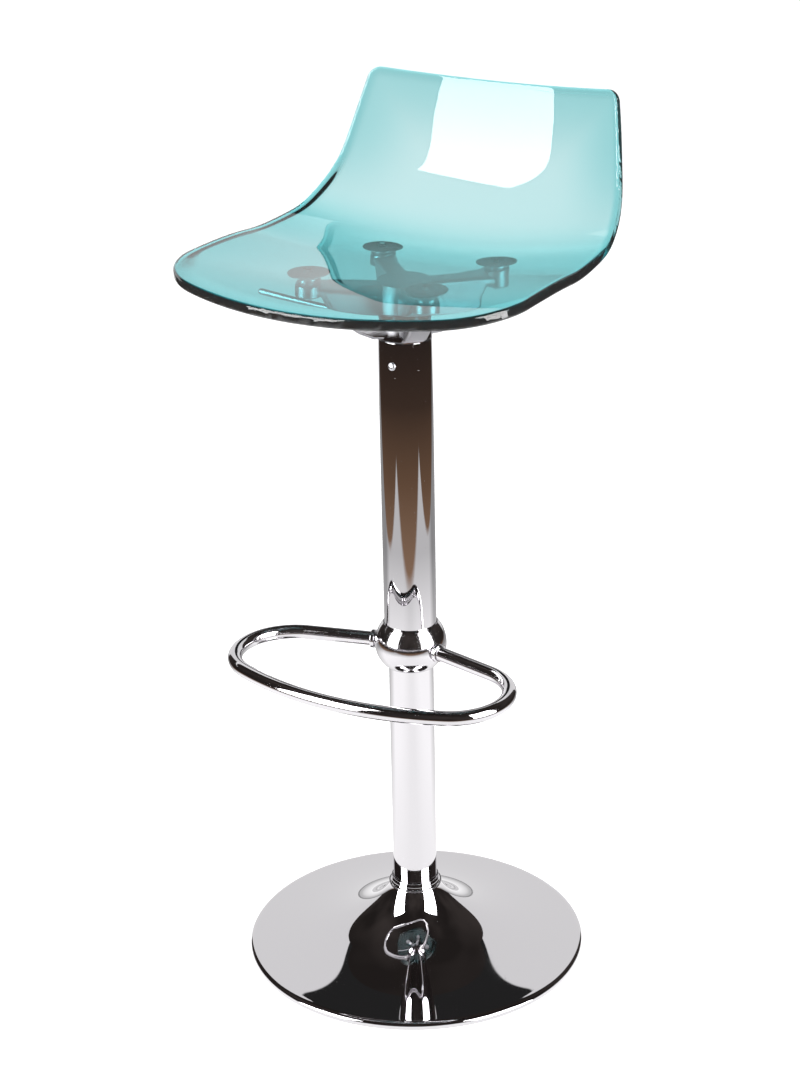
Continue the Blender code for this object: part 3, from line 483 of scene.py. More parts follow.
# one tube: arm, corner, wide front arc, corner, arm
def makeFootLoop():
    f = footLoop
    middle = f["halfWidth"] - f["corner"]
    armLong = (middle + f["corner"] * math.sin(loopSweep)) / math.cos(loopSweep)
    cornerOut = armLong * math.sin(loopSweep) + f["corner"] * math.cos(loopSweep)
    back = cornerOut - f["reach"]
    frontArc = (f["corner"] ** 2 - middle ** 2 - back ** 2) / (2 * (f["corner"] + back))
    frontTurn = math.asin(middle / (frontArc - f["corner"]))
    cornerTurn = math.pi - loopSweep - frontTurn
    way = Vector((math.cos(loopSweep), -math.sin(loopSweep), 0))
    bm = bmesh.new()
    start = Vector((0, 0, f["height"])) + way * f["start"]
    bmesh.ops.create_circle(bm, cap_ends=False, radius=f["tube"], segments=40, matrix=pointTo(way, start))
    last = list(bm.edges)

    def straight(edges, vector, parts):
        for _ in range(parts):
            grown = bmesh.ops.extrude_edge_only(bm, edges=edges)["geom"]
            bmesh.ops.translate(bm, vec=vector / parts, verts=[g for g in grown if isinstance(g, bmesh.types.BMVert)])
            edges = [g for g in grown if isinstance(g, bmesh.types.BMEdge)]
            verts = [g for g in grown if isinstance(g, bmesh.types.BMVert)]
            edges = [e for e in edges if all(v in verts for v in e.verts)]
        return edges

    def bend(edges, centre, turn, steps):
        verts = list({v for e in edges for v in e.verts})
        done = bmesh.ops.spin(bm, geom=edges + verts, cent=(*centre, f["height"]), axis=(0, 0, 1), angle=-turn,
                              steps=steps, use_merge=False, use_duplicate=False)["geom_last"]
        return [g for g in done if isinstance(g, bmesh.types.BMEdge)]

    last = straight(last, way * (armLong - f["start"]), 6)
    last = bend(last, (middle, -cornerOut), cornerTurn, 40)
    last = bend(last, (0, frontArc - f["reach"]), 2 * frontTurn, 40)
    last = bend(last, (-middle, -cornerOut), cornerTurn, 40)
    home = Vector((way.x, -way.y, 0))
    last = straight(last, home * (armLong - f["start"]), 6)
    bmesh.ops.holes_fill(bm, edges=[e for e in bm.edges if len(e.link_faces) == 1], sides=0)
    bmesh.ops.remove_doubles(bm, verts=bm.verts, dist=1e-6)
    bmesh.ops.recalc_face_normals(bm, faces=bm.faces)
    addPiece(looseObject("footLoop", bm), "seat", ["footrest_loop"], "loop", 50, False)
    for side, facing in (("left", 1), ("right", -1)):
        far = f["ferruleFrom"] + f["ferruleLong"]
        outline = [(f["ferrule"], far), (f["ferrule"], f["ferruleFrom"]), (f["ferruleBore"], f["ferruleFrom"]),
                   (f["ferruleBore"], far)]
        ring = spinProfile(outline, 64)
        softenEdges(ring, 0.0009)
        piece = looseObject(f"ferrule_{side}", ring)
        piece.data.transform(pointTo((facing * way.x, way.y, 0), (0, 0, f["height"])))
        addPiece(piece, "seat", [f"footrest_ferrule_{side}"], "loop")


makeTube("standTube", "stand_tube", "base", columnTubes["stand"], columnTubes["standWall"])
makeTube("coverTube", "cover_tube", "seat", columnTubes["cover"], columnTubes["coverWall"])
makeTubeScrews()
makeFootBall()
makeFootLoop()
print("column and footrest made")


# moulded clear scoop
seatScoop = {
    "height": 0.8147, "width": 0.398, "front": 0.2217, "corner": 0.095, "cornerFront": 0.104,
    "panel": 0.007, "rim": 0.012,
    "pan": 0.0098, "back": 0.0034, "thins": (0.02, 0.17),
    "backEdge": 0.0028, "backEdgeIn": 0.090, "backEdgeFrom": (0.12, 0.26),
    "rimTop": 0.0078, "rimIn": ((-0.135, 0.026), (-0.085, 0.010), (0.22, 0.012)),
    "roundTop": 0.0034, "roundUnder": 0.0044,
    "tilt": math.radians(5.2), "rollStart": 0.124, "roll": 0.395,
    "panBack": 0.085, "bend": 0.1035, "recline": math.radians(17.0), "straight": 0.0901,
    "taperStart": 0.100, "taper": 0.050, "backCorner": 0.012, "dip": 0.002,
    "dish": (0.0, 0.015, 0.034, 0.026), "blend": 0.016,
    "rows": 120, "columns": 88, "bossRadius": 0.0055, "bossDepth": 0.0062, "screwHole": 0.0033, "screwGrip": 0.0058,
    "bosses": {"front_right": (-0.070, -0.076), "front_left": (0.070, -0.076),
               "back_right": (-0.070, 0.075), "back_left": (0.070, 0.075)},
}
s = seatScoop
bendTurn = math.pi / 2 - s["recline"] + s["tilt"]
seatTop = s["panBack"] + s["bend"] * bendTurn + s["straight"]


# middle line of the sitting surface: rolled front, pan, bend, back
def rawLine(t):
    along = Vector((math.cos(s["tilt"]), -math.sin(s["tilt"])))
    up = Vector((math.sin(s["tilt"]), math.cos(s["tilt"])))
    start = Vector((0, s["height"]))
    if t < -s["rollStart"]:
        turn = (-s["rollStart"] - t) / s["roll"]
        hub = start - along * s["rollStart"] - up * s["roll"]
        return hub + (up * math.cos(turn) - along * math.sin(turn)) * s["roll"]
    if t <= s["panBack"]:
        return start + along * t
    turn = min((t - s["panBack"]) / s["bend"], bendTurn)
    out = up * math.cos(turn) - along * math.sin(turn)
    past = max(0, t - s["panBack"] - s["bend"] * bendTurn)
    hub = start + along * s["panBack"] + up * s["bend"]
    return hub - out * s["bend"] + Vector((out.y, -out.x)) * past


# a short running mean lets the arcs flow into each other
def middleLine(t):
    near = [rawLine(t + s["blend"] * k / 4) for k in range(-4, 5)]
    return sum(near, Vector((0, 0))) / len(near)


def lineNormal(t):
    step = middleLine(t + 0.001) - middleLine(t - 0.001)
    return Vector((-step.y, step.x)).normalized()


def easeIn(value, start, end):
    share = min(max((value - start) / (end - start), 0), 1)
    return share * share * (3 - 2 * share)


def dishAt(t):
    d = s["dish"]
    stops = [(-s["front"], d[0]), (0, d[1]), (s["panBack"] + s["bend"] * bendTurn / 2, d[2]), (seatTop, d[3])]
    for (t0, d0), (t1, d1) in zip(stops, stops[1:]):
        if t <= t1:
            break
    return d0 + (d1 - d0) * easeIn(t, t0, t1)


def halfWidth(t):
    share = max(0, t + s["taperStart"]) / (seatTop + s["taperStart"])
    return s["width"] / 2 - s["taper"] * share ** 2


def frontEdge(v):
    x = abs(v) * s["width"] / 2
    middle = s["width"] / 2 - s["corner"]
    back = s["cornerFront"] - s["front"]
    wide = (s["corner"] ** 2 - middle ** 2 - back ** 2) / (2 * (s["corner"] + back))
    if x <= middle * wide / (wide - s["corner"]):
        return -(s["front"] - wide + math.sqrt(wide ** 2 - x ** 2))
    return -(s["cornerFront"] + math.sqrt(max(0, s["corner"] ** 2 - (x - middle) ** 2)))


def backEdge(v):
    top = seatTop - s["dip"] * (1 - v * v)
    past = abs(v) * halfWidth(seatTop) - (halfWidth(seatTop) - s["backCorner"])
    if past <= 0:
        return top
    return top - s["backCorner"] + math.sqrt(max(0, s["backCorner"] ** 2 - past ** 2))


def seatPoint(t, v):
    point = middleLine(t) + lineNormal(t) * dishAt(t) * v * v
    return Vector((halfWidth(t) * v, point.x, point.y))


def underPan(x, y):
    low, high = -s["front"], s["panBack"] + s["bend"]
    for _ in range(40):
        t = (low + high) / 2
        point = seatPoint(t, x / halfWidth(t))
        if point.y < y:
            low = t
        else:
            high = t
    return point.z - s["panel"] / math.cos(s["tilt"])


bossPlaces = {name: Vector((x, y, underPan(x, y) - s["bossDepth"])) for name, (x, y) in s["bosses"].items()}


# the rim is thickest along the front and thins towards the top of the back
def rimThick(t):
    share = min(max(t / seatTop, 0), 1)
    return s["rim"] + (s["rimTop"] - s["rim"]) * share


# thick pan, thin back that grows again towards its edges, and the rim on top of that
def wallAt(t, d):
    plain = s["pan"] + (s["back"] - s["pan"]) * easeIn(t, *s["thins"])
    grown = s["backEdge"] * easeIn(t, *s["backEdgeFrom"])
    rim = rimThick(t) - plain - grown
    wide, narrow = s["backEdgeIn"], rimReach(t)
    return plain + grown * easeIn(wide - d, 0, wide) + rim * easeIn(narrow - d, 0, narrow)


# how far in the rim's thickness runs out
def rimReach(t):
    stops = s["rimIn"]
    for (t0, reach0), (t1, reach1) in zip(stops, stops[1:]):
        if t <= t1:
            break
    return reach0 + (reach1 - reach0) * easeIn(t, t0, t1)


def rounding(distance, radius):
    if distance >= radius:
        return 0
    return radius - math.sqrt(radius ** 2 - (radius - distance) ** 2)


# the grid is laid on the scoop, doubled for the underside, and the two rims are bridged
def makeSeat():
    rows, columns = s["rows"], s["columns"]
    shares = [(1 - math.cos(math.pi * i / rows)) / 2 for i in range(rows + 1)]
    across = [math.sin(math.pi * (j / columns - 0.5)) for j in range(columns + 1)]
    edge = []  # outline on the unrolled sheet, for distances from the rim
    for i in range(1601):
        v = math.sin(math.pi * (i / 1600 - 0.5))
        edge.append((s["width"] / 2 * v, frontEdge(v)))
        edge.append((halfWidth(backEdge(v)) * v, backEdge(v)))
    for i in range(801):
        t = frontEdge(1) + (backEdge(1) - frontEdge(1)) * i / 800
        edge += [(halfWidth(t), t), (-halfWidth(t), t)]
    tree = kdtree.KDTree(len(edge))
    for i, (x, t) in enumerate(edge):
        tree.insert((x, t, 0), i)
    tree.balance()
    bm = bmesh.new()
    bmesh.ops.create_grid(bm, x_segments=columns, y_segments=rows, size=0.5)
    rim = {}
    for vert in bm.verts:
        v = across[round((vert.co.x + 0.5) * columns)]
        first = frontEdge(v)
        t = first + (backEdge(v) - first) * shares[round((vert.co.y + 0.5) * rows)]
        vert.co = seatPoint(t, v)
        d = tree.find((halfWidth(t) * v, t, 0))[2]
        rim[vert.index] = d, wallAt(t, d), rimThick(t) / s["rim"]
    bm.normal_update()
    bm.verts.ensure_lookup_table()
    away = {vert.index: (vert.co.copy(), vert.normal.copy()) for vert in bm.verts}
    lower = bmesh.ops.duplicate(bm, geom=list(bm.verts) + list(bm.edges) + list(bm.faces))
    twin = lower["vert_map"]
    for vert, other in [(a, b) for a, b in twin.items() if a.index in away and a.index < len(away)]:
        place, normal = away[vert.index]
        d, thick, share = rim[vert.index]
        vert.co = place - normal * rounding(d, s["roundTop"] * share)
        other.co = place - normal * (thick - rounding(d, s["roundUnder"] * share))
    faces = [g for g in lower["geom"] if isinstance(g, bmesh.types.BMFace)]
    bmesh.ops.reverse_faces(bm, faces=faces)
    bmesh.ops.bridge_loops(bm, edges=[e for e in bm.edges if len(e.link_faces) == 1])
    bmesh.ops.remove_doubles(bm, verts=bm.verts, dist=1e-6)
    bmesh.ops.recalc_face_normals(bm, faces=bm.faces)
    seat = looseObject("seatScoop", bm)
    pads = []
    holes = []
    for name, place in bossPlaces.items():
        height = s["bossDepth"] + s["panel"] * 0.45
        pads.append(solidRod("boss", s["bossRadius"], height, Matrix.Translation(place), 96))
        deep = place - Vector((0, 0, 0.003))
        holes.append(solidRod("bossHole", s["screwHole"], 0.003 + s["screwGrip"], Matrix.Translation(deep), 40))
    combine(seat, pads, "UNION")
    combine(seat, holes, "DIFFERENCE")
    addPiece(seat, "seat", ["seat_shell"], "seat", 28, False)


makeSeat()
print("seat made")


# cast hub with four arms under the seat, and the posts on them
carrier = {
    "hub": 0.029, "hubTop": 0.7903, "hubBottom": 0.7368, "spigot": 0.0272, "spigotBottom": 0.6905,
    "armWide": 0.024, "armRoot": 0.018, "armInset": 0.002, "armLow": 0.001, "armEdge": 0.0035,
    # lower edge of an arm: share of the way out, share of the way up
    "web": ((1.0, 1.0), (0.86, 0.68), (0.66, 0.40), (0.40, 0.17), (0.14, 0.03)),
    "bossRadius": 0.0135, "bossTall": 0.012, "screwHole": 0.0033,
    "socketTop": 0.7418, "socketFoot": 0.0143, "socketHead": 0.01355, "socketPast": 0.002,
    "slot": (0.045, 0.0094, 0.0207), "slotMiddle": (-0.0105, 0, 0.7515),
    "postFlange": 0.022, "postNeck": 0.0108, "postFoot": 0.0128, "postFootTall": 0.0028, "postEdge": 0.0005,
    "padTall": 0.0006, "postTall": 0.008, "gap": 0.0003,
    "screw": 0.003, "screwHead": 0.0055, "screwHeadTall": 0.004,
}
lever = {"radius": 0.0034, "rise": math.radians(3.5), "pivot": (-0.020, 0, 0.7522), "out": 0.160, "in": 0.028,
         "pinHole": 0.0023, "pin": 0.002, "pinHalf": 0.018}


# arm from the hub out to one boss, drawn as a side outline and given its width
def armSolid(name, place):
    c = carrier
    top = place.z - 2 * c["gap"] - c["postTall"]
    bottom = top - c["bossTall"]
    reach = math.hypot(place.x, place.y)
    inset = c["armInset"]
    low = c["hubBottom"] + c["armLow"]
    rise = bottom + inset - low
    span = reach - c["bossRadius"] - c["hub"]
    web = [(c["hub"] + span * out, low + rise * up) for out, up in c["web"]]  # bellied lower edge
    outline = [(c["armRoot"], c["hubTop"] - inset), (reach, top - inset), (reach, bottom + inset), *web,
               (c["armRoot"], low)]
    bm = bmesh.new()
    side = bm.faces.new([bm.verts.new((x, -c["armWide"] / 2, z)) for x, z in reversed(outline)])
    grown = bmesh.ops.extrude_face_region(bm, geom=[side])["geom"]
    bmesh.ops.translate(bm, vec=(0, c["armWide"], 0), verts=[g for g in grown if isinstance(g, bmesh.types.BMVert)])
    bmesh.ops.recalc_face_normals(bm, faces=bm.faces)
    softenEdges(bm, c["armEdge"], 4)
    bmesh.ops.rotate(bm, matrix=Matrix.Rotation(math.atan2(place.y, place.x), 3, "Z"), verts=bm.verts)
    boss = spinProfile([(0, top), (c["bossRadius"], top), (c["bossRadius"], bottom), (0, bottom)], 64, closed=False)
    softenEdges(boss, 0.0015)
    bmesh.ops.translate(boss, vec=(place.x, place.y, 0), verts=boss.verts)
    return looseObject("arm_" + name, bm), looseObject("armBoss_" + name, boss), bottom


def makeCarrier():
    c = carrier
    outline = [(0, c["hubTop"]), (c["hub"], c["hubTop"]), (c["hub"], c["hubBottom"]), (c["spigot"], c["hubBottom"]),
               (c["spigot"], c["spigotBottom"]), (0, c["spigotBottom"])]
    bm = spinProfile(outline, 96, closed=False)
    softenEdges(bm, 0.0012)
    hub = looseObject("seatCarrier", bm)
    grown = []
    holes = []
    for name, place in bossPlaces.items():
        arm, boss, bottom = armSolid(name, place)
        grown += [arm, boss]
        below = Matrix.Translation((place.x, place.y, bottom - 0.004))
        holes.append(solidRod("armHole", c["screwHole"], 0.02, below, 40))
    combine(hub, grown, "UNION")
    # taper socket for the gas spring, slot for the lever, cross hole for its pin
    socket = bmesh.new()
    deep = c["socketTop"] - c["spigotBottom"] + c["socketPast"]
    bmesh.ops.create_cone(socket, cap_ends=True, segments=64, radius1=c["socketFoot"], radius2=c["socketHead"],
                          depth=deep, matrix=Matrix.Translation((0, 0, c["socketTop"] - deep / 2)))
    slot = bmesh.new()
    bmesh.ops.create_cube(slot, size=1)
    bmesh.ops.scale(slot, vec=c["slot"], verts=slot.verts)
    bmesh.ops.translate(slot, vec=c["slotMiddle"], verts=slot.verts)
    x, y, z = lever["pivot"]
    pinHole = solidRod("pinHole", lever["pinHole"], 0.065, pointTo((0, 1, 0), (x, y - 0.0183, z)), 32)
    combine(hub, holes + [looseObject("socket", socket), looseObject("leverSlot", slot), pinHole], "DIFFERENCE")
    addPiece(hub, "seat", ["seat_spider"], "cast", 30)


def makePosts():
    c = carrier
    for name, place in bossPlaces.items():
        top = place.z - c["gap"]
        bottom = top - c["postTall"]
        padBottom = top - c["padTall"]
        waist = bottom + c["postFootTall"]
        hollow = arcPoints((c["postFlange"], waist), c["postFlange"] - c["postNeck"],
                           padBottom - c["postEdge"] - waist, 90, 180, 12)
        flare = arcPoints((c["postFoot"], waist), c["postFoot"] - c["postNeck"], c["postFootTall"], 180, 270, 6)
        hole = c["screwHole"]
        outline = [(c["postFlange"], padBottom)] + hollow + flare[1:] + [(hole, bottom), (hole, padBottom)]
        pad = [(c["postFlange"], top), (c["postFlange"], padBottom), (hole, padBottom), (hole, top)]
        for kind, points, slot, finish in (("post_", outline, "chrome", "cast"),
                                           ("postPad_", pad, "rubber", "rubber")):
            bm = spinProfile(points, 96)
            softenEdges(bm, 0.0002, 2, 50)
            bmesh.ops.translate(bm, vec=(place.x, place.y, 0), verts=bm.verts)
            addPiece(looseObject(kind + name, bm), "seat", ["support_post_" + name], finish)
        low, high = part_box("seat_screw_" + name)
        headTop = low.z + c["screwHeadTall"]
        turned = Matrix.Translation((place.x, place.y, headTop)) @ Matrix.Rotation(math.pi, 4, "X")
        screw = screwWith("seatScrew_" + name, c["screw"], high.z - headTop, c["screwHead"], c["screwHeadTall"],
                          "hex", turned)
        addPiece(screw, "seat", ["seat_screw_" + name], "steel")


def makeLever():
    rise = lever["rise"]
    far = lever["out"] / math.cos(rise)
    near = lever["in"] / math.cos(rise)
    r = lever["radius"]
    outline = arcPoints((0, far - r), r, r, 90, 0, 10)
    outline[0] = (0, far)
    outline += [(r, -near), (0, -near)]
    bm = spinProfile(outline, 48, closed=False)
    softenEdges(bm, 0.0006, 2, 50)
    rod = looseObject("leverRod", bm)
    rod.data.transform(pointTo((-math.cos(rise), 0, math.sin(rise)), lever["pivot"]))
    across = pointTo((0, 1, 0), Vector(lever["pivot"]) - Vector((0, 0.008, 0)))
    cross = solidRod("crossHole", lever["pinHole"], 0.016, across, 32)
    combine(rod, [cross], "DIFFERENCE")
    addPiece(rod, "lever", ["lever_rod"], "cast")
    thick, half = lever["pin"], lever["pinHalf"]
    pin = spinProfile([(0, half), (thick, half), (thick, -half), (0, -half)], 32, closed=False)
    softenEdges(pin, 0.0004, 2)
    piece = looseObject("leverPin", pin)
    piece.data.transform(pointTo((0, 1, 0), lever["pivot"]))
    addPiece(piece, "seat", ["lever_pin"], "steel")


makeCarrier()
makePosts()
makeLever()
print("carrier, posts and lever made")


# pieces inside the column stay as they are in the frame
innerFinishes = {"guide_sleeve": "nylon", "rod_gland": "nylon", "stop_buffer": "rubber"}


def dressInner():
    for name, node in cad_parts.items():
        if not node.hide_render:
            node.data.materials.clear()
            node.data.materials.append(finishes[innerFinishes.get(name, "steel")])


dressInner()


studio = {
    "camera": Vector((0.5, -0.866, 0)), "right": Vector((0.866, 0.5, 0)),  # ways to the camera and across it
    "floor": 9.0, "paperLeft": -1.22, "paperRight": 1.28, "paperFront": 1.06, "paperGlow": 1.36,
    # against 0.4 of the distance from the stool
    "farPaper": ((0.16, 0.59), (0.64, 0.67)), "whiteFall": ((0.30, 1.0), (0.48, 0.48)),
    # brownish floor beyond the paper, darkened with distance as painted shade
    "fadingBrownFloor": ((0.44, (0.25, 0.155, 0.10)), (0.60, (0.13, 0.075, 0.045)),
                   (0.76, (0.045, 0.028, 0.02)), (0.95, (0.02, 0.015, 0.013))),
    "backdropFar": 1.85, "backdropLeft": -1.36, "backdropRight": 1.39, "backdropTall": 2.5, "backdropGlow": 0.95,
    "poolOff": 1.05, "poolHalf": 0.73, "poolTall": 1.40, "poolFoot": 0.99,
    # sloping white card: sides, nearest and farthest distance behind the stool, height of its near edge, slope
    "card": (-1.60, 0.30, 0.45, 1.80, 0.80, math.radians(45)), "cardGlow": 1.25,
    "dark": (0.030, 0.025, 0.023), "lampPower": 95,
    # turn from the backdrop, distance, width, bottom and top of each white panel
    "leftPanel": (-119, 2.0, 1.22, 0.22, 2.6), "rightPanel": (125, 2.0, 1.46, 0.22, 2.6), "panelGlow": 12,
}


def dot(tree, vector, axis):
    node = addNode(tree, "ShaderNodeVectorMath", {"operation": "DOT_PRODUCT"})
    node.inputs[1].default_value = axis
    tree.links.new(vector, node.inputs[0])
    return node.outputs["Value"]


def emptyFinish(name):
    material = bpy.data.materials.new(name)
    material.use_nodes = True
    material.node_tree.nodes.clear()
    return material, material.node_tree, addNode(material.node_tree, "ShaderNodeOutputMaterial")


# 1 for a ray off a mirror, 0 for one that comes through the seat
def mirrorRay(tree):
    path = tree.nodes.new("ShaderNodeLightPath")
    return math2(tree, "GREATER_THAN", path.outputs["Is Glossy Ray"], path.outputs["Is Transmission Ray"])


# white paper that keeps the stool's shadow; mirrors see it end at its edges, with a brownish floor beyond, and both
# glow for them with painted light that falls off with distance
def makeFloor():
    bm = bmesh.new()
    bmesh.ops.create_grid(bm, x_segments=1, y_segments=1, size=studio["floor"])
    floor = looseObject("floor", bm)
    material, tree, out = emptyFinish("whitePaper")
    paper = addNode(tree, "ShaderNodeBsdfDiffuse", Color=(0.80, 0.80, 0.80, 1))
    glow = addNode(tree, "ShaderNodeEmission")
    white = addNode(tree, "ShaderNodeAddShader")
    tree.links.new(paper.outputs[0], white.inputs[0])
    tree.links.new(glow.outputs[0], white.inputs[1])
    place = addNode(tree, "ShaderNodeTexCoord").outputs["Object"]
    far = addNode(tree, "ShaderNodeVectorMath", {"operation": "LENGTH"})
    tree.links.new(place, far.inputs[0])
    far = far.outputs["Value"]
    towards = dot(tree, place, studio["camera"])
    aside = dot(tree, place, studio["right"])
    front = ramp(tree, math2(tree, "SUBTRACT", towards, studio["paperFront"] - 0.5), ((0.47, 1.0), (0.56, 0.0)))
    left = ramp(tree, math2(tree, "SUBTRACT", aside, studio["paperLeft"] - 0.5), ((0.48, 0.0), (0.52, 1.0)))
    right = ramp(tree, math2(tree, "SUBTRACT", aside, studio["paperRight"] - 0.5), ((0.48, 1.0), (0.52, 0.0)))
    onPaper = math2(tree, "MULTIPLY", math2(tree, "MULTIPLY", front, left), right)
    fade = math2(tree, "MULTIPLY", far, 0.4)
    path = tree.nodes.new("ShaderNodeLightPath")
    direct = math2(tree, "MULTIPLY", path.outputs["Is Camera Ray"], 0.10)
    farther = ramp(tree, fade, studio["farPaper"])  # far paper stays white
    tree.links.new(math2(tree, "ADD", farther, direct), glow.inputs["Strength"])
    # paper for the mirrors: painted light that falls off with distance, dimmer behind the stool and brighter at its
    # sides
    whiteFall = ramp(tree, fade, studio["whiteFall"])
    dimBehind = ramp(tree, math2(tree, "ADD", towards, 0.6), ((0.05, 0.50), (0.50, 1.0)))
    brightAside = ramp(tree, math2(tree, "ABSOLUTE", aside, 0.0), ((0.10, 0.96), (0.50, 1.08)))
    whiteFall = math2(tree, "MULTIPLY", whiteFall, math2(tree, "MULTIPLY", dimBehind, brightAside))
    # brownish floor for the mirrors and through the seat's edges, darkened with distance as painted shade
    fadingBrown = ramp(tree, fade, studio["fadingBrownFloor"])
    mixed = addNode(tree, "ShaderNodeMix", {"data_type": "RGBA"})
    tree.links.new(onPaper, mixed.inputs["Factor"])
    tree.links.new(fadingBrown, mixed.inputs[6])
    tree.links.new(whiteFall, mixed.inputs[7])
    mirrored = addNode(tree, "ShaderNodeEmission", Strength=studio["paperGlow"])
    tree.links.new(mixed.outputs[2], mirrored.inputs["Color"])
    beyond = addNode(tree, "ShaderNodeEmission")  # seen through the seat's edges
    tree.links.new(fadingBrown, beyond.inputs["Color"])
    trapped = math2(tree, "GREATER_THAN", path.outputs["Glossy Depth"], 0.5)  # turned round inside the sheet
    bent = math2(tree, "MULTIPLY", path.outputs["Is Transmission Ray"], math2(tree, "SUBTRACT", 1.0, onPaper))
    bent = math2(tree, "MULTIPLY", bent, trapped)
    seen = addNode(tree, "ShaderNodeMixShader")
    tree.links.new(bent, seen.inputs[0])
    tree.links.new(white.outputs[0], seen.inputs[1])
    tree.links.new(beyond.outputs[0], seen.inputs[2])
    mix = addNode(tree, "ShaderNodeMixShader")
    tree.links.new(mirrorRay(tree), mix.inputs[0])
    tree.links.new(seen.outputs[0], mix.inputs[1])
    tree.links.new(mirrored.outputs[0], mix.inputs[2])
    tree.links.new(mix.outputs[0], out.inputs["Surface"])
    floor.data.materials.append(material)


def mirrorOnly(piece):
    piece.visible_camera = False
    piece.visible_diffuse = False
    piece.visible_transmission = False
    piece.visible_volume_scatter = False
    piece.visible_shadow = False


# upright sheet: local X across, local Y up, facing the stool
def uprightSheet(name, left, right, bottom, top, turn, far):
    way = -studio["camera"] * math.cos(math.radians(turn)) + studio["right"] * math.sin(math.radians(turn))
    bm = bmesh.new()
    bmesh.ops.create_grid(bm, x_segments=1, y_segments=1, size=0.5)
    bmesh.ops.scale(bm, vec=(right - left, top - bottom, 1), verts=bm.verts)
    bmesh.ops.translate(bm, vec=((left + right) / 2, (top + bottom) / 2, 0), verts=bm.verts)
    sheet = looseObject(name, bm)
    across = Vector((way.y, -way.x, 0))
    sheet.matrix_world = Matrix.Translation(way * far) @ Matrix((across, Vector((0, 0, 1)), -way)).transposed().to_4x4()
    return sheet


# backdrop lit in two rounded pools, for the mirrors alone
def makeBackdrop():
    sheet = uprightSheet("backdrop", studio["backdropLeft"], studio["backdropRight"], 0, studio["backdropTall"], 0,
                         studio["backdropFar"])
    material, tree, out = emptyFinish("litBackdrop")
    split = addNode(tree, "ShaderNodeSeparateXYZ")
    tree.links.new(addNode(tree, "ShaderNodeTexCoord").outputs["Object"], split.inputs[0])
    off = math2(tree, "SUBTRACT", math2(tree, "ABSOLUTE", split.outputs["X"], 0.0), studio["poolOff"])
    off = math2(tree, "DIVIDE", off, studio["poolHalf"])
    pool = math2(tree, "SUBTRACT", 1.0, math2(tree, "MULTIPLY", off, off))
    pool = math2(tree, "SQRT", math2(tree, "MAXIMUM", pool, 0.0), 0.0)
    edge = math2(tree, "ADD", math2(tree, "MULTIPLY", pool, studio["poolTall"]), studio["poolFoot"])
    inside = ramp(tree, math2(tree, "SUBTRACT", edge, split.outputs["Y"]), ((0.0, 0.024), (0.03, 1.0)))
    light = addNode(tree, "ShaderNodeEmission")
    tree.links.new(math2(tree, "MULTIPLY", inside, studio["backdropGlow"]), light.inputs["Strength"])
    tree.links.new(light.outputs[0], out.inputs["Surface"])
    sheet.data.materials.append(material)
    mirrorOnly(sheet)


# sloping white card behind the stool, which only the seat mirrors: its underside is clear
def makeCard():
    left, right, near, far, foot, slope = studio["card"]
    bm = bmesh.new()
    bmesh.ops.create_grid(bm, x_segments=1, y_segments=1, size=0.5)
    bmesh.ops.scale(bm, vec=(right - left, (far - near) / math.cos(slope), 1), verts=bm.verts)
    sheet = looseObject("card", bm)
    back = -studio["camera"]
    along = back * math.cos(slope) + Vector((0, 0, math.sin(slope)))
    middle = studio["right"] * (left + right) / 2 + back * (near + far) / 2
    middle.z = foot + (far - near) / 2 * math.tan(slope)
    axes = (studio["right"], along, studio["right"].cross(along))
    sheet.matrix_world = Matrix.Translation(middle) @ Matrix(axes).transposed().to_4x4()
    material, tree, out = emptyFinish("whiteCard")
    light = addNode(tree, "ShaderNodeEmission", Strength=studio["cardGlow"])
    clear = addNode(tree, "ShaderNodeBsdfTransparent")
    mix = addNode(tree, "ShaderNodeMixShader")
    tree.links.new(addNode(tree, "ShaderNodeNewGeometry").outputs["Backfacing"], mix.inputs[0])
    tree.links.new(light.outputs[0], mix.inputs[1])
    tree.links.new(clear.outputs[0], mix.inputs[2])
    tree.links.new(mix.outputs[0], out.inputs["Surface"])
    sheet.data.materials.append(material)
    mirrorOnly(sheet)


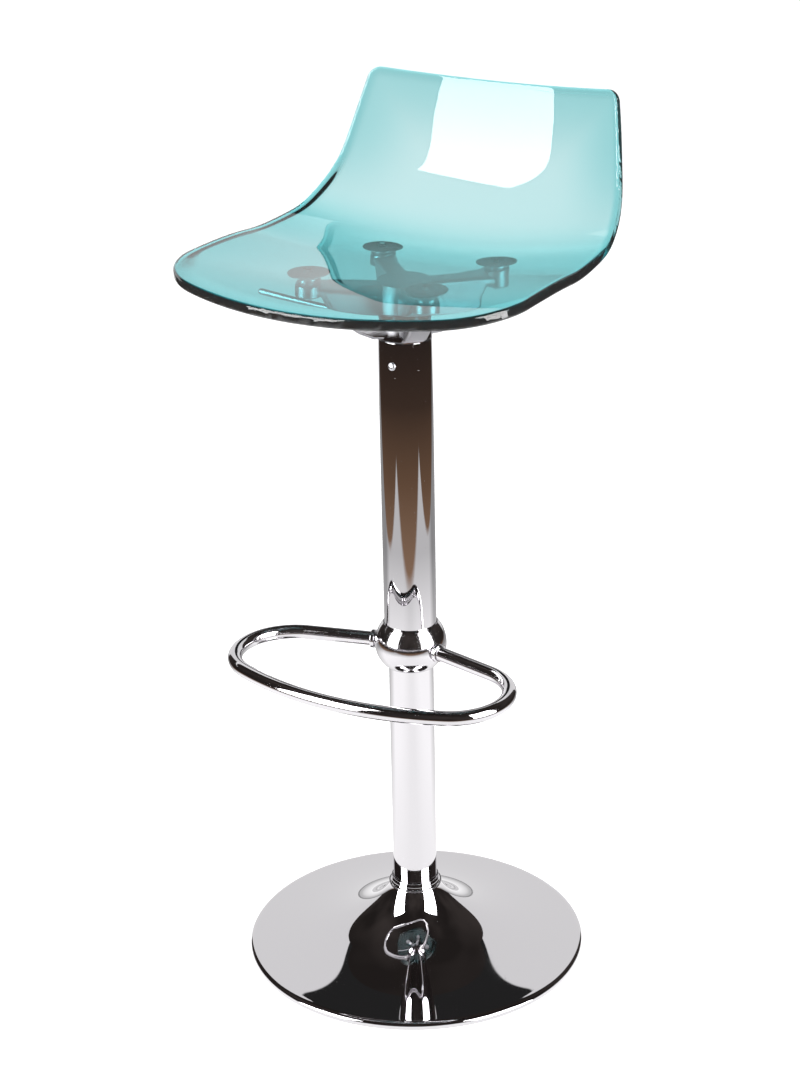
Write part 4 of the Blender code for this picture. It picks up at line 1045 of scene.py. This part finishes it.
# the two soft boxes: a bright face for the mirrors, and a mild lamp for everything else
def makeSoftBoxes():
    material, tree, out = emptyFinish("softBoxFace")
    light = addNode(tree, "ShaderNodeEmission")
    front = math2(tree, "SUBTRACT", 1.0, addNode(tree, "ShaderNodeNewGeometry").outputs["Backfacing"])
    tree.links.new(math2(tree, "MULTIPLY", front, studio["panelGlow"]), light.inputs["Strength"])
    tree.links.new(light.outputs[0], out.inputs["Surface"])
    for name in ("leftPanel", "rightPanel"):
        turn, far, wide, bottom, top = studio[name]
        sheet = uprightSheet(name, -wide / 2, wide / 2, bottom, top, turn, far)
        sheet.data.materials.append(material)
        mirrorOnly(sheet)
        lamp = bpy.data.lights.new(name + "Lamp", "AREA")
        lamp.shape = "RECTANGLE"
        lamp.size = wide
        lamp.size_y = top - bottom
        lamp.energy = studio["lampPower"]
        box = bpy.data.objects.new(name + "Lamp", lamp)
        scene.collection.objects.link(box)
        inFront = Matrix.Translation((0, (bottom + top) / 2, 0.02)) @ Matrix.Rotation(math.pi, 4, "Y")
        box.matrix_world = sheet.matrix_world @ inFront
        box.visible_camera = False
        box.visible_glossy = False
        box.visible_transmission = False


# white behind the stool for the eye and through the seat, dark studio in the mirrors
def makeSurround():
    world = bpy.data.worlds.new("studio")
    scene.world = world
    world.use_nodes = True
    tree = world.node_tree
    tree.nodes.clear()
    out = addNode(tree, "ShaderNodeOutputWorld")
    path = tree.nodes.new("ShaderNodeLightPath")
    split = addNode(tree, "ShaderNodeSeparateXYZ")
    way = addNode(tree, "ShaderNodeTexCoord").outputs["Generated"]
    tree.links.new(way, split.inputs[0])
    low = ramp(tree, split.outputs["Z"], ((0.35, 1.0), (0.60, 0.04)))
    behind = ramp(tree, dot(tree, way, -studio["camera"]), ((0.55, 0.03), (0.75, 1.0)))
    straight = math2(tree, "LESS_THAN", path.outputs["Glossy Depth"], 0.5)
    seeThrough = math2(tree, "MAXIMUM", straight, math2(tree, "MULTIPLY", low, behind))
    through = math2(tree, "MULTIPLY", path.outputs["Is Transmission Ray"], seeThrough)
    white = addNode(tree, "ShaderNodeBackground", Color=(1, 1, 1, 1))
    shown = math2(tree, "MAXIMUM", path.outputs["Is Camera Ray"], through)
    soft = math2(tree, "MULTIPLY", path.outputs["Is Diffuse Ray"], 0.35)
    tree.links.new(math2(tree, "MAXIMUM", shown, soft), white.inputs["Strength"])
    dark = addNode(tree, "ShaderNodeBackground", Color=(*studio["dark"], 1))
    room = noise(tree, way, 1.6, 2, 0.5)
    tree.links.new(ramp(tree, room, ((0.38, 0.7), (0.66, 1.7))), dark.inputs["Strength"])
    mix = addNode(tree, "ShaderNodeMixShader")
    tree.links.new(mirrorRay(tree), mix.inputs[0])
    tree.links.new(white.outputs[0], mix.inputs[1])
    tree.links.new(dark.outputs[0], mix.inputs[2])
    tree.links.new(mix.outputs[0], out.inputs["Surface"])


makeCamera()
makeFloor()
makeBackdrop()
makeCard()
makeSoftBoxes()
makeSurround()
print("studio made")
